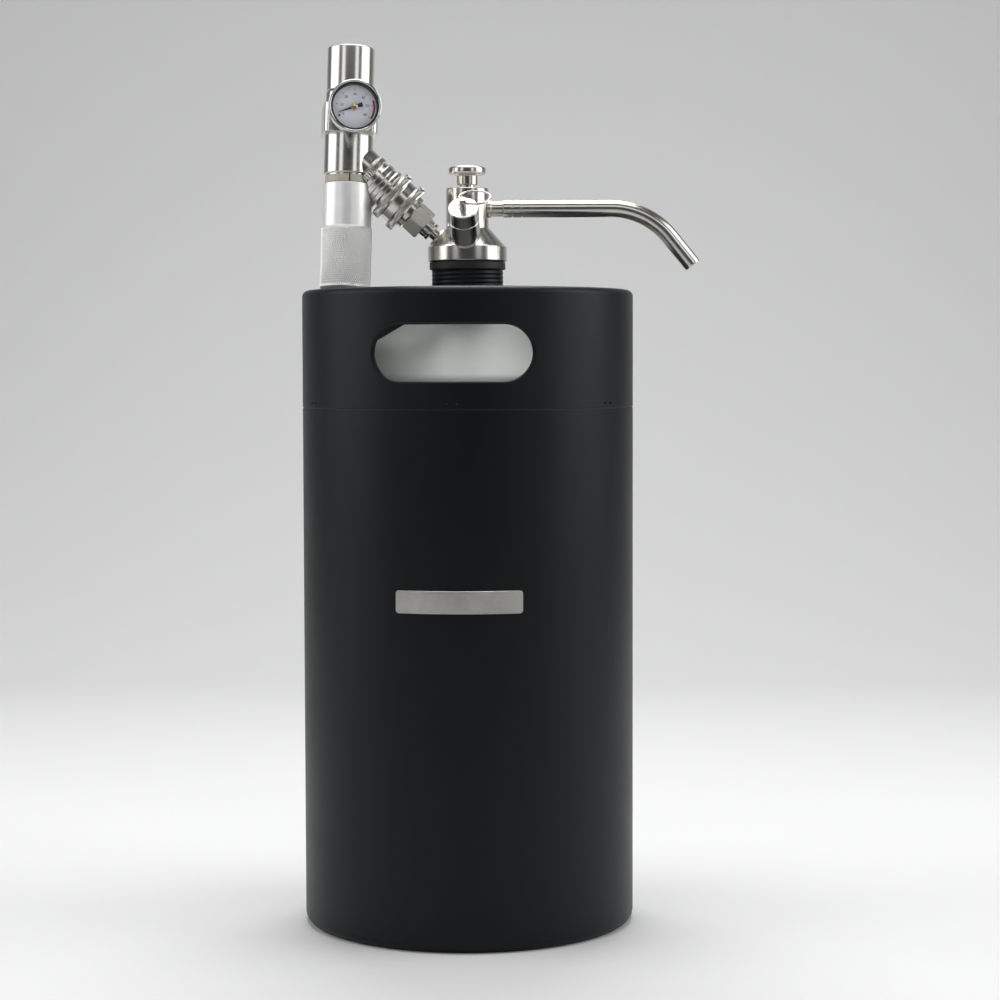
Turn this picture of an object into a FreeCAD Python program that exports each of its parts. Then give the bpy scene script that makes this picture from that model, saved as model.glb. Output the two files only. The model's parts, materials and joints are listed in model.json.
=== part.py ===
import FreeCAD, Part
import math
import os
import Sketcher
from FreeCAD import Placement, Rotation, Vector

# A five litre double-walled mini keg with a handle collar, a screw-in tap head with a push
# button, a swivelling spout, a relief valve with a pull ring, and a small gas regulator on a
# quick disconnect. Origin: the keg's axis at the base plane. +Z is up, the spout points to
# +X, the gas post to -X, and the relief valve and the gauge face -Y. Millimetres.

SIZES = {
    # Keg
    "body_radius": 87.5,
    "shell_wall": 1.2,
    "base_corner": 8.0,
    "contact_radius": 76.0,
    "base_recess": 4.0,
    "seam_height": 273.6,
    "rim_height": 335.0,
    "rim_roll": 7.0,
    "collar_wall": 1.2,
    "seam_gap": 0.4,
    "slot_width": 80.8,
    "slot_height": 28.2,
    "slot_centre": 301.7,
    "drain_radius": 0.6,
    "drain_half_gap": 2.5,
    "drain_height": 2.6,
    "cone_slope": 0.588,
    "cone_at_axis": 336.99,
    "dome_round": 22.0,
    "vacuum_drop": 8.0,
    "inner_radius": 80.0,
    "inner_wall": 1.0,
    "inner_floor": 9.0,
    "inner_round": 18.0,
    "neck_radius": 18.9,
    "neck_bore": 16.5,
    "neck_foot": 315.6,
    "neck_top": 356.6,
    "skirt_radius": 20.05,
    "skirt_low": 346.0,
    "skirt_top": 349.9,
    "badge_height": 177.4,
    "badge_tall": 11.6,
    "badge_thick": 0.6,
    "badge_sweep": 42.6,
    # Tap head
    "head_low": 350.2,
    "head_ring_radius": 20.9,
    "head_ring_top": 358.3,
    "head_shoulder": 20.1,
    "head_cone_top": 367.9,
    "tap_radius": 11.2,
    "tap_top": 389.0,
    "thread_bore": 19.05,
    "thread_top": 357.8,
    "seal_gap": 0.05,
    "shank_radius": 9.0,
    "shank_low": 342.0,
    "chamber_radius": 6.5,
    "lower_chamber_floor": 346.0,
    "lower_chamber_roof": 365.9,
    "rod_bore": 3.2,
    "upper_chamber_floor": 370.0,
    "upper_chamber_roof": 383.0,
    "button_stem": 3.9,
    "button_neck": 5.5,
    "button_radius": 9.8,
    "button_low": 390.6,
    "button_top": 400.2,
    "running_gap": 0.05,
    "dip_radius": 4.0,
    "dip_bore": 3.4,
    "dip_low": 18.0,
    # Spout, along +X
    "spout_height": 378.1,
    "socket_radius": 4.2,
    "socket_start": 6.6,
    "socket_end": 18.8,
    "spigot_radius": 2.6,
    "collar_end": 34.1,
    "spout_radius": 4.7,
    "spout_bore": 3.7,
    "bend_start": 75.8,
    "bend_radius": 40.3,
    "bend_angle": 51.0,
    "tip_length": 19.4,
    # Relief valve, along its own axis from where that axis meets the tap's
    "relief_height": 347.3,
    "relief_elevation": 45.0,
    "relief_turn": 3.5,
    "relief_radius": 8.0,
    "relief_foot": 22.3,
    "relief_seam": 34.0,
    "relief_face": 42.0,
    "relief_stem": 1.8,
    "relief_hole": 1.1,
    "relief_eye": 46.0,
    "relief_tip": 48.0,
    "relief_bore": 5.0,
    "relief_poppet": 4.6,
    "pull_ring_radius": 8.1,
    "pull_ring_wire": 0.58,
    "pull_ring_tilt": 16.5,
    "pull_ring_lean": 40.0,
    # Gas post and quick disconnect, along their own axis
    "post_height": 348.5,
    "post_elevation": 42.6,
    "post_turn": 2.5,
    "post_foot": 22.3,
    "post_stem_end": 25.2,
    "post_hex_start": 30.2,
    "post_hex_flats": 15.1,
    "post_hex_end": 39.5,
    "post_stem_radius": 2.8,
    "post_radius": 5.05,
    "plug_radius": 5.5,
    "plug_bore": 2.0,
    "plug_groove": 0.7,
    "plug_end": 58.4,
    "ball_station": 48.6,
    "ball_radius": 1.3,
    "nose_radius": 9.2,
    "carrier_radius": 9.6,
    "carrier_end": 57.2,
    "socket_wall_radius": 7.5,
    "socket_wall_end": 61.2,
    "carrier_start": 39.9,
    "sleeve_flange_radius": 13.9,
    "sleeve_flange": 3.9,
    "sleeve_radius": 11.8,
    "sleeve_start": 42.2,
    "sleeve_end": 55.8,
    "swivel_start": 57.5,
    "swivel_groove": 60.0,
    "swivel_ring": 62.6,
    "swivel_end": 65.6,
    "swivel_start_radius": 11.9,
    "swivel_groove_radius": 10.9,
    "swivel_ring_radius": 11.5,
    "outlet_rib": 68.2,
    "outlet_rib_end": 71.6,
    "outlet_step": 72.4,
    "outlet_radius": 10.5,
    "outlet_rib_radius": 11.4,
    "outlet_bore": 1.5,
    "regulator_meet": 85.0,
    # Regulator, along its own axis from the cartridge holder's foot
    "holder_length": 56.0,
    "holder_grip_end": 33.4,
    "holder_grip_radius": 13.35,
    "holder_radius": 12.9,
    "split_ring_start": 56.2,
    "split_ring_end": 60.2,
    "split_ring_radius": 12.1,
    "holder_room": 13.2,
    "holder_wall_floor": 2.0,
    "nose_low": 45.5,
    "nose_thread": 10.4,
    "thread_gap": 0.05,
    "cartridge_room": 9.3,
    "cartridge_neck_room": 4.7,
    "body_low": 60.9,
    "meet_level": 71.4,
    "block_low": 81.8,
    "block_top": 97.1,
    "bonnet_top": 104.3,
    "bonnet_radius": 12.7,
    "block_side": 28.0,
    "block_round": 3.5,
    "knob_low": 104.9,
    "knob_top": 128.2,
    "knob_radius": 12.35,
    "barrel_radius": 12.8,
    "lean_side": 1.5,
    "lean_back": 5.0,
    "gauge_yaw": 8.0,
    "gauge_level": 91.3,
    "gauge_stem_end": 24.4,
    "gauge_face": 36.0,
    "gauge_radius": 13.75,
    "dial_radius": 11.4,
    "gauge_stem_radius": 3.95,
    "gauge_nut_radius": 5.5,
    "dial_drop": 4.4,
    "lens_drop": 0.85,
    "cartridge_radius": 9.0,
    "cartridge_foot": 2.2,
    "cartridge_shoulder": 47.5,
    "cartridge_neck": 4.3,
    "cartridge_neck_start": 57.5,
    "cartridge_top": 67.2,
    "pin_tip": 66.2,
    "pin_plate": 68.0,
    "pin_end": 69.0,
    "spring_room": 9.0,
    "screw_radius": 2.5,
    # Springs
    "spring_wire": 0.45,
    "spring_radius": 4.8,
    "relief_spring_radius": 3.4,
    "range_spring_radius": 6.4,
}

doc = FreeCAD.newDocument("mini_keg")
sheet = doc.addObject("Spreadsheet::Sheet", "sizes")
for line, (alias, number) in enumerate(SIZES.items(), start=1):
    sheet.set("A%d" % line, alias)
    sheet.set("B%d" % line, str(number))
    sheet.setAlias("B%d" % line, alias)
doc.recompute()

nodes = {}


def amount(formula):
    """The number that a formula of the sheet's aliases gives."""
    return float(sheet.evalExpression(formula))


def size(alias):
    return float(sheet.get(alias))


def spread(formula):
    """A formula with the sheet's name put before each of its aliases."""
    words = formula.split()
    return " ".join("sizes." + word if word in SIZES else word for word in words)


def keep(name, piece):
    """Makes a finished piece a node: its label names its file."""
    piece.Label = name
    nodes[name] = piece
    return piece


# ---- Ways of making a solid -------------------------------------------------------------


def profile(body, name, outline):
    """A closed sketch on the body's XZ plane; each corner is held at (radius, height)."""
    sketch = body.newObject("Sketcher::SketchObject", name + "_profile")
    plane = [item for item in body.Origin.OriginFeatures if item.Role == "XZ_Plane"][0]
    sketch.AttachmentSupport = [(plane, "")]
    sketch.MapMode = "FlatFace"
    corners = [(spread(radius), spread(height)) for radius, height in outline]
    points = [Vector(amount(radius), amount(height), 0) for radius, height in corners]
    count = len(points)
    for index in range(count):
        sketch.addGeometry(Part.LineSegment(points[index], points[(index + 1) % count]), False)
    for index in range(count):
        sketch.addConstraint(Sketcher.Constraint("Coincident", index, 2, (index + 1) % count, 1))
    for index, (radius, height) in enumerate(corners):
        if radius == "0":
            sketch.addConstraint(Sketcher.Constraint("PointOnObject", index, 1, -2))
        else:
            hold(sketch, "DistanceX", index, radius)
        if height == "0":
            sketch.addConstraint(Sketcher.Constraint("PointOnObject", index, 1, -1))
        else:
            hold(sketch, "DistanceY", index, height)
    return sketch


def hold(sketch, kind, index, formula):
    """Holds one corner's distance from the origin to a formula."""
    constraint = Sketcher.Constraint(kind, -1, 1, index, 1, amount(formula))
    number = sketch.addConstraint(constraint)
    sketch.setExpression("Constraints[%d]" % number, formula)


def turned(name, outline, place=None, angle="360"):
    """A PartDesign body turned about its own Z axis, at a placement."""
    body = doc.addObject("PartDesign::Body", name)
    sketch = profile(body, name, outline)
    turn = body.newObject("PartDesign::Revolution", name + "_turn")
    turn.Profile = sketch
    turn.ReferenceAxis = (sketch, ["V_Axis"])
    turn.setExpression("Angle", spread(angle))
    sketch.Visibility = False
    if place is not None:
        body.Placement = place
    doc.recompute()
    return body


def rounded(body, name, corner, radius):
    """Rounds the circular edge of a turned body that passes through (radius, height)."""
    base = body.Tip
    spot = Vector(amount(spread(corner[0])), 0, amount(spread(corner[1])))
    found = []
    for index, edge in enumerate(base.Shape.Edges, start=1):
        curve = edge.Curve
        if hasattr(curve, "Radius") and abs(curve.Radius - spot.x) < 0.01:
            if abs(curve.Center.z - spot.z) < 0.01:
                found.append("Edge%d" % index)
    fillet = body.newObject("PartDesign::Fillet", name)
    fillet.Base = (base, found)
    fillet.setExpression("Radius", spread(radius))
    body.Tip = fillet
    doc.recompute()
    return body


def cylinder(name, radius, height, place):
    """A Part cylinder from the placement's origin along its Z axis."""
    made = doc.addObject("Part::Cylinder", name)
    made.setExpression("Radius", spread(radius))
    made.setExpression("Height", spread(height))
    made.Placement = place
    return made


def cut(name, base, tools):
    """base less each of the tools."""
    made = base
    for index, tool in enumerate(tools, start=1):
        step = doc.addObject("Part::Cut", "%s_cut_%d" % (name, index))
        step.Base = made
        step.Tool = tool
        made = step
    doc.recompute()
    return made


def fuse(name, pieces):
    made = doc.addObject("Part::MultiFuse", name)
    made.Shapes = pieces
    made.Refine = True
    doc.recompute()
    return made


def coil(name, radius, wire, low, high, turns, place):
    """A spring drawn as a stack of evenly spaced wire rings between two heights."""
    rings = []
    for index in range(turns):
        ring = doc.addObject("Part::Torus", "%s_ring_%d" % (name, index + 1))
        ring.setExpression("Radius1", spread(radius))
        ring.setExpression("Radius2", spread(wire))
        level = low + (high - low) * index / (turns - 1)
        ring.Placement = slid(place, level)
        rings.append(ring)
    stack = doc.addObject("Part::Compound", name + "_stack")
    stack.Links = rings
    doc.recompute()
    return stack


# ---- Axes ------------------------------------------------------------------------------


def heading(elevation, azimuth):
    """A unit vector by its elevation and its azimuth from +X, in degrees."""
    rise = math.radians(elevation)
    around = math.radians(azimuth)
    flat = math.cos(rise)
    return Vector(flat * math.cos(around), flat * math.sin(around), math.sin(rise))


def along(origin, direction):
    """A placement whose Z axis points along the direction."""
    return Placement(origin, Rotation(Vector(0, 0, 1), direction))


def slid(place, distance):
    return place.multiply(Placement(Vector(0, 0, distance), Rotation()))


UPRIGHT = Placement()
COLLAR_CLOCK = -4.65
BADGE_CLOCK = -2.5
collar_place = Placement(Vector(), Rotation(Vector(0, 0, 1), COLLAR_CLOCK))

spout_place = along(Vector(0, 0, size("spout_height")), Vector(1, 0, 0))
relief_way = heading(size("relief_elevation"), -90 - size("relief_turn"))
relief_place = along(Vector(0, 0, size("relief_height")), relief_way)
post_way = heading(size("post_elevation"), 180 + size("post_turn"))
post_place = along(Vector(0, 0, size("post_height")), post_way)

regulator_up = Vector(
    math.tan(math.radians(size("lean_side"))),
    math.tan(math.radians(size("lean_back"))),
    1,
).normalize()
gauge_way = heading(0, -90 + size("gauge_yaw"))
gauge_way = (gauge_way - regulator_up * gauge_way.dot(regulator_up)).normalize()
regulator_side = regulator_up.cross(gauge_way)
regulator_turn = Rotation(-regulator_side, -gauge_way, regulator_up, "ZYX")
meet = post_place.multVec(Vector(0, 0, size("regulator_meet")))
regulator_place = Placement(meet - regulator_up * size("meet_level"), regulator_turn)
gauge_place = regulator_place.multiply(
    Placement(Vector(0, 0, size("gauge_level")), Rotation(Vector(1, 0, 0), 90))
)


# ---- Keg -------------------------------------------------------------------------------


def outer_shell():
    """The painted outer wall with its rolled bottom corner and flat contact ring."""
    body = turned(
        "outer_shell",
        [
            ("contact_radius", "0"),
            ("body_radius", "0"),
            ("body_radius", "seam_height - seam_gap"),
            ("body_radius - shell_wall", "seam_height - seam_gap"),
            ("body_radius - shell_wall", "shell_wall"),
            ("contact_radius", "shell_wall"),
        ],
    )
    rounded(body, "outer_corner", ("body_radius", "0"), "base_corner")
    inside = ("body_radius - shell_wall", "shell_wall")
    rounded(body, "inner_corner", inside, "base_corner - shell_wall")
    return body


def base_plate():
    """The recessed disc that closes the double wall from below."""
    return turned(
        "base_plate",
        [
            ("0", "base_recess"),
            ("contact_radius - 3", "base_recess"),
            ("contact_radius - 1.2", "0.4"),
            ("contact_radius", "0.4"),
            ("contact_radius", "1.6"),
            ("contact_radius - 0.6", "1.6"),
            ("contact_radius - 2.4", "base_recess + 1.2"),
            ("0", "base_recess + 1.2"),
        ],
    )


def shoulder():
    """The bare steel dome between the shell's top edge and the neck."""
    outer = "body_radius - shell_wall"
    inner = "body_radius - shell_wall - 1"
    body = turned(
        "shoulder",
        [
            (outer, "seam_height - 8"),
            (outer, "cone_at_axis - cone_slope * ( body_radius - shell_wall )"),
            ("neck_radius", "cone_at_axis - cone_slope * neck_radius"),
            ("neck_radius", "cone_at_axis - 1.16 - cone_slope * neck_radius"),
            (inner, "cone_at_axis - 1.16 - cone_slope * ( body_radius - shell_wall - 1 )"),
            (inner, "seam_height - 8"),
        ],
    )
    top = (outer, "cone_at_axis - cone_slope * ( body_radius - shell_wall )")
    rounded(body, "dome_outside", top, "dome_round")
    below = (inner, "cone_at_axis - 1.16 - cone_slope * ( body_radius - shell_wall - 1 )")
    rounded(body, "dome_inside", below, "dome_round - 1")
    return body


def inner_vessel():
    """The inner bottle that holds the drink, a vacuum gap inside the shell."""
    outer = "inner_radius"
    inner = "inner_radius - inner_wall"
    drop = "cone_at_axis - vacuum_drop - cone_slope * "
    lower = "cone_at_axis - vacuum_drop - 1.16 - cone_slope * "
    body = turned(
        "inner_vessel",
        [
            ("0", "inner_floor"),
            (outer, "inner_floor"),
            (outer, drop + "inner_radius"),
            ("neck_radius", drop + "neck_radius"),
            ("neck_radius", lower + "neck_radius"),
            (inner, lower + "( inner_radius - inner_wall )"),
            (inner, "inner_floor + inner_wall"),
            ("0", "inner_floor + inner_wall"),
        ],
    )
    rounded(body, "vessel_top_outside", (outer, drop + "inner_radius"), "inner_round")
    below = (inner, lower + "( inner_radius - inner_wall )")
    rounded(body, "vessel_top_inside", below, "inner_round - inner_wall")
    rounded(body, "vessel_foot_outside", (outer, "inner_floor"), "base_corner")
    foot = (inner, "inner_floor + inner_wall")
    rounded(body, "vessel_foot_inside", foot, "base_corner - inner_wall")
    return body


def neck():
    """The neck tube, screwed into by the tap head from outside."""
    return turned(
        "neck",
        [
            ("neck_bore", "neck_foot"),
            ("neck_radius", "neck_foot"),
            ("neck_radius", "neck_top"),
            ("neck_bore", "neck_top"),
        ],
    )


def neck_skirt():
    """The rubber ring round the neck, just under the tap head."""
    return turned(
        "neck_skirt",
        [
            ("neck_radius", "skirt_low"),
            ("skirt_radius", "skirt_low"),
            ("skirt_radius", "skirt_top"),
            ("neck_radius", "skirt_top"),
        ],
    )


def sketch_slot(body, name):
    """A stadium on the XZ plane: two straight edges and two half circles."""
    sketch = body.newObject("Sketcher::SketchObject", name)
    plane = [item for item in body.Origin.OriginFeatures if item.Role == "XZ_Plane"][0]
    sketch.AttachmentSupport = [(plane, "")]
    sketch.MapMode = "FlatFace"
    half = size("slot_height") / 2
    reach = size("slot_width") / 2 - half
    middle = size("slot_centre")
    right = Part.Circle(Vector(reach, middle, 0), Vector(0, 0, 1), half)
    left = Part.Circle(Vector(-reach, middle, 0), Vector(0, 0, 1), half)
    quarter = math.pi / 2
    sketch.addGeometry(Part.ArcOfCircle(right, -quarter, quarter), False)
    sketch.addGeometry(Part.ArcOfCircle(left, quarter, 3 * quarter), False)
    top = Part.LineSegment(Vector(reach, middle + half, 0), Vector(-reach, middle + half, 0))
    low = Part.LineSegment(Vector(-reach, middle - half, 0), Vector(reach, middle - half, 0))
    sketch.addGeometry(top, False)
    sketch.addGeometry(low, False)
    for first, second in ((0, 2), (2, 1), (1, 3), (3, 0)):
        sketch.addConstraint(Sketcher.Constraint("Tangent", first, 2, second, 1))
    sketch.addConstraint(Sketcher.Constraint("Symmetric", 0, 3, 1, 3, -2))
    radius = sketch.addConstraint(Sketcher.Constraint("Radius", 0, half))
    sketch.setExpression("Constraints[%d]" % radius, spread("slot_height / 2"))
    across = sketch.addConstraint(Sketcher.Constraint("DistanceX", 1, 3, 0, 3, 2 * reach))
    sketch.setExpression("Constraints[%d]" % across, spread("slot_width - slot_height"))
    level = sketch.addConstraint(Sketcher.Constraint("DistanceY", -1, 1, 0, 3, middle))
    sketch.setExpression("Constraints[%d]" % level, spread("slot_centre"))
    sketch.addConstraint(Sketcher.Constraint("Horizontal", 2))
    return sketch


def sketch_drains(body, name):
    """Two small circles side by side, just above the collar's foot."""
    sketch = body.newObject("Sketcher::SketchObject", name)
    plane = [item for item in body.Origin.OriginFeatures if item.Role == "XZ_Plane"][0]
    sketch.AttachmentSupport = [(plane, "")]
    sketch.MapMode = "FlatFace"
    level = size("seam_height") + size("drain_height")
    for index, side in enumerate((-1, 1)):
        centre = Vector(side * size("drain_half_gap"), level, 0)
        sketch.addGeometry(Part.Circle(centre, Vector(0, 0, 1), size("drain_radius")), False)
        across = sketch.addConstraint(
            Sketcher.Constraint("DistanceX", -1, 1, index, 3, centre.x)
        )
        sketch.setExpression("Constraints[%d]" % across, spread("%d * drain_half_gap" % side))
        up = sketch.addConstraint(Sketcher.Constraint("DistanceY", -1, 1, index, 3, level))
        sketch.setExpression("Constraints[%d]" % up, spread("seam_height + drain_height"))
        radius = sketch.addConstraint(
            Sketcher.Constraint("Radius", index, size("drain_radius"))
        )
        sketch.setExpression("Constraints[%d]" % radius, spread("drain_radius"))
    return sketch


def pocket_both_ways(body, name, sketch):
    """Cuts a sketch right through the front and the back wall."""
    pocket = body.newObject("PartDesign::Pocket", name)
    pocket.Profile = sketch
    pocket.Type = "ThroughAll"
    pocket.Midplane = True
    body.Tip = pocket
    doc.recompute()
    return pocket


def handle_collar():
    """The carrying collar: rolled rim, a hand slot front and back, six pairs of drains."""
    body = turned(
        "handle_collar",
        [
            ("body_radius", "seam_height"),
            ("body_radius", "rim_height"),
            ("body_radius - rim_roll", "rim_height"),
            ("body_radius - rim_roll", "rim_height - collar_wall"),
            ("body_radius - collar_wall", "rim_height - collar_wall"),
            ("body_radius - collar_wall", "seam_height"),
        ],
    )
    rounded(body, "rim_outside", ("body_radius", "rim_height"), "rim_roll - 0.05")
    inside = ("body_radius - collar_wall", "rim_height - collar_wall")
    rounded(body, "rim_inside", inside, "rim_roll - collar_wall - 0.05")
    pocket_both_ways(body, "hand_slots", sketch_slot(body, "hand_slot_sketch"))
    drains = pocket_both_ways(body, "drain_pair", sketch_drains(body, "drain_sketch"))
    pattern = body.newObject("PartDesign::PolarPattern", "drain_pairs")
    pattern.Originals = [drains]
    up = [item for item in body.Origin.OriginFeatures if item.Role == "Z_Axis"][0]
    pattern.Axis = (up, [""])
    pattern.Angle = 120
    pattern.Occurrences = 3
    body.Tip = pattern
    body.Placement = collar_place
    doc.recompute()
    return body


def badge_plate():
    """A thin blank plate that follows the front of the shell."""
    sweep = size("badge_sweep")
    start = Rotation(Vector(0, 0, 1), -90 + BADGE_CLOCK - sweep / 2)
    return turned(
        "badge_plate",
        [
            ("body_radius", "badge_height - badge_tall / 2"),
            ("body_radius + badge_thick", "badge_height - badge_tall / 2"),
            ("body_radius + badge_thick", "badge_height + badge_tall / 2"),
            ("body_radius", "badge_height + badge_tall / 2"),
        ],
        Placement(Vector(), start),
        "badge_sweep",
    )


# ---- Tap head --------------------------------------------------------------------------


def tap_seal():
    """The flat seal on the neck's top lip, which rises with the head as it unscrews."""
    return turned(
        "tap_seal",
        [
            ("neck_bore + 0.3", "neck_top + seal_gap"),
            ("neck_radius - 0.1", "neck_top + seal_gap"),
            ("neck_radius - 0.1", "thread_top - seal_gap"),
            ("neck_bore + 0.3", "thread_top - seal_gap"),
        ],
    )


def tap_base():
    """The screw ring, its cone with a boss for each side fitting, and the shank below."""
    cone = turned(
        "tap_base_cone",
        [
            ("0", "shank_low"),
            ("shank_radius", "shank_low"),
            ("shank_radius", "head_low"),
            ("head_ring_radius", "head_low"),
            ("head_ring_radius", "head_ring_top"),
            ("head_shoulder", "head_ring_top + 0.1"),
            ("tap_radius", "head_cone_top"),
            ("0", "head_cone_top"),
        ],
    )
    relief_boss = cylinder("relief_boss", "relief_radius", "4.3", slid(relief_place, 18))
    post_boss = cylinder("post_boss", "5.2", "4.3", slid(post_place, 18))
    blank = fuse("tap_base_blank", [cone, relief_boss, post_boss])
    thread = turned(
        "thread_room",
        [
            ("shank_radius", "shank_low - 1"),
            ("thread_bore", "shank_low - 1"),
            ("thread_bore", "thread_top"),
            ("shank_radius", "thread_top"),
        ],
    )
    bore = turned(
        "lower_chamber",
        [
            ("0", "shank_low - 1"),
            ("dip_radius + 0.05", "shank_low - 1"),
            ("dip_radius + 0.05", "lower_chamber_floor"),
            ("chamber_radius", "lower_chamber_floor"),
            ("chamber_radius", "lower_chamber_roof"),
            ("rod_bore", "lower_chamber_roof"),
            ("rod_bore", "head_cone_top + 1"),
            ("0", "head_cone_top + 1"),
        ],
    )
    seat = cylinder("relief_foot_seat", "relief_radius", "20", slid(relief_place, size("relief_foot")))
    return cut("tap_base", blank, [thread, bore, seat])


def tap_body():
    """The upright valve barrel, with a side port for the spout."""
    barrel = turned(
        "tap_barrel",
        [
            ("rod_bore", "head_cone_top"),
            ("tap_radius", "head_cone_top"),
            ("tap_radius", "tap_top - 0.6"),
            ("tap_radius - 0.6", "tap_top"),
            ("button_stem + running_gap", "tap_top"),
            ("button_stem + running_gap", "upper_chamber_roof"),
            ("chamber_radius", "upper_chamber_roof"),
            ("chamber_radius", "upper_chamber_floor"),
            ("rod_bore", "upper_chamber_floor"),
        ],
    )
    port = cylinder("spout_port", "socket_radius", "12", slid(spout_place, 4))
    seat = cylinder("relief_seat", "relief_radius", "20", slid(relief_place, 15))
    return cut("tap_body", barrel, [port, seat])


def dip_tube():
    """The draw tube down to the bottom of the vessel."""
    return turned(
        "dip_tube",
        [
            ("dip_bore", "dip_low"),
            ("dip_radius", "dip_low"),
            ("dip_radius", "lower_chamber_floor"),
            ("dip_bore", "lower_chamber_floor"),
        ],
    )


def valve_plunger():
    """The beer valve's rod: head, shaft, spring flange and the button's stem."""
    return turned(
        "valve_plunger",
        [
            ("0", "lower_chamber_roof - 2.5"),
            ("chamber_radius - 1.1", "lower_chamber_roof - 2.5"),
            ("chamber_radius - 1.1", "lower_chamber_roof - 0.9"),
            ("rod_bore - 1", "lower_chamber_roof - 0.9"),
            ("rod_bore - 1", "upper_chamber_roof - 3"),
            ("chamber_radius - 0.3", "upper_chamber_roof - 3"),
            ("chamber_radius - 0.3", "upper_chamber_roof - 0.05"),
            ("button_stem", "upper_chamber_roof - 0.05"),
            ("button_stem", "button_low"),
            ("0", "button_low"),
        ],
    )


def valve_washer():
    """The rubber washer that closes the beer valve."""
    return turned(
        "valve_washer",
        [
            ("rod_bore - 1", "lower_chamber_roof - 0.9"),
            ("chamber_radius - 1.1", "lower_chamber_roof - 0.9"),
            ("chamber_radius - 1.1", "lower_chamber_roof - 0.05"),
            ("rod_bore - 1", "lower_chamber_roof - 0.05"),
        ],
    )


def valve_spring():
    """The coil that lifts the button."""
    low = size("upper_chamber_floor") + 0.5
    high = size("upper_chamber_roof") - 3.5
    return coil("valve_spring", "spring_radius", "spring_wire", low, high, 6, UPRIGHT)


def button_cap():
    """The mushroom button and its short neck."""
    body = turned(
        "button_cap",
        [
            ("0", "button_low"),
            ("button_neck", "button_low"),
            ("button_neck", "button_low + 5.3"),
            ("button_radius", "button_top - 3.8"),
            ("button_radius", "button_top"),
            ("0", "button_top"),
        ],
    )
    return rounded(body, "button_edge", ("button_radius", "button_top"), "1.2")


# ---- Spout -----------------------------------------------------------------------------


def spout_socket():
    """The short steel nipple that the spout turns in."""
    return turned(
        "spout_socket",
        [
            ("spigot_radius + running_gap", "socket_start"),
            ("socket_radius - 0.03", "socket_start"),
            ("socket_radius - 0.03", "socket_end"),
            ("spigot_radius + running_gap", "socket_end"),
        ],
        spout_place,
    )


def spout_collar():
    """The grooved collar at the spout's root, with the spigot it turns on."""
    groove = "spout_radius - 0.5"
    outline = [("1.8", "socket_start + 2"), ("spigot_radius", "socket_start + 2")]
    outline.append(("spigot_radius", "socket_end + 0.1"))
    outline.append(("spout_radius", "socket_end + 0.1"))
    for station in ("socket_end + 5.1", "socket_end + 10"):
        outline.append(("spout_radius", station + " - 0.3"))
        outline.append((groove, station + " - 0.3"))
        outline.append((groove, station + " + 0.3"))
        outline.append(("spout_radius", station + " + 0.3"))
    outline.append(("spout_radius", "collar_end"))
    outline.append(("1.8", "collar_end"))
    return turned("spout_collar", outline, spout_place)


def tube_run(name, radius):
    """The spout's line as one solid rod: a level run, a bend and the tip."""
    level = size("spout_height")
    start = size("bend_start")
    drop = size("bend_radius")
    angle = math.radians(size("bend_angle"))
    centre = Vector(start, 0, level - drop)
    run_place = slid(spout_place, size("collar_end"))
    run = cylinder(name + "_run", radius, "bend_start - collar_end", run_place)
    bend = doc.addObject("Part::Torus", name + "_bend")
    bend.setExpression("Radius1", spread("bend_radius"))
    bend.setExpression("Radius2", spread(radius))
    bend.setExpression("Angle3", spread("bend_angle"))
    quarter = Rotation(Vector(0, 0, 1), Vector(1, 0, 0), Vector(0, 1, 0), "ZXY")
    bend.Placement = Placement(centre, quarter)
    bend_end = centre + Vector(math.sin(angle), 0, math.cos(angle)) * drop
    down = Vector(math.cos(angle), 0, -math.sin(angle))
    tip = cylinder(name + "_tip", radius, "tip_length", along(bend_end, down))
    return fuse(name, [run, bend, tip])


def spout_tube():
    """The bent pouring tube, open right through."""
    rod = tube_run("spout_rod", "spout_radius")
    way = tube_run("spout_way", "spout_bore")
    return cut("spout_tube", rod, [way])


# ---- Relief valve ----------------------------------------------------------------------


def relief_body():
    """The relief valve's barrel, hollow for its poppet."""
    return turned(
        "relief_body",
        [
            ("0", "relief_foot"),
            ("relief_radius", "relief_foot"),
            ("relief_radius", "relief_seam - 0.3"),
            ("relief_radius - 0.4", "relief_seam"),
            ("relief_bore", "relief_seam"),
            ("relief_bore", "relief_foot + 3"),
            ("0", "relief_foot + 3"),
        ],
        relief_place,
    )


def relief_cap():
    """The cap that holds the relief spring in."""
    return turned(
        "relief_cap",
        [
            ("relief_radius - 0.4", "relief_seam"),
            ("relief_radius", "relief_seam + 0.3"),
            ("relief_radius", "relief_face - 0.5"),
            ("relief_radius - 0.5", "relief_face"),
            ("relief_stem + running_gap", "relief_face"),
            ("relief_stem + running_gap", "relief_face - 2"),
            ("relief_bore", "relief_face - 2"),
            ("relief_bore", "relief_seam"),
        ],
        relief_place,
    )


def relief_stem():
    """The poppet and its stem, with a cross hole for the pull ring."""
    rod = turned(
        "relief_rod",
        [
            ("0", "relief_foot + 3.1"),
            ("relief_poppet", "relief_foot + 3.1"),
            ("relief_poppet", "relief_foot + 5.1"),
            ("relief_stem", "relief_foot + 5.1"),
            ("relief_stem", "relief_tip - 0.4"),
            ("relief_stem - 0.4", "relief_tip"),
            ("0", "relief_tip"),
        ],
        relief_place,
    )
    hole_place = along(ring_eye - ring_line * 4, ring_line)
    hole = cylinder("relief_eye_hole", "relief_hole", "8", hole_place)
    return cut("relief_stem", rod, [hole])


def relief_spring():
    """The coil that holds the poppet shut."""
    low = size("relief_foot") + 5.7
    high = size("relief_face") - 2.6
    return coil("relief_spring", "relief_spring_radius", "spring_wire", low, high, 7, relief_place)


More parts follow.
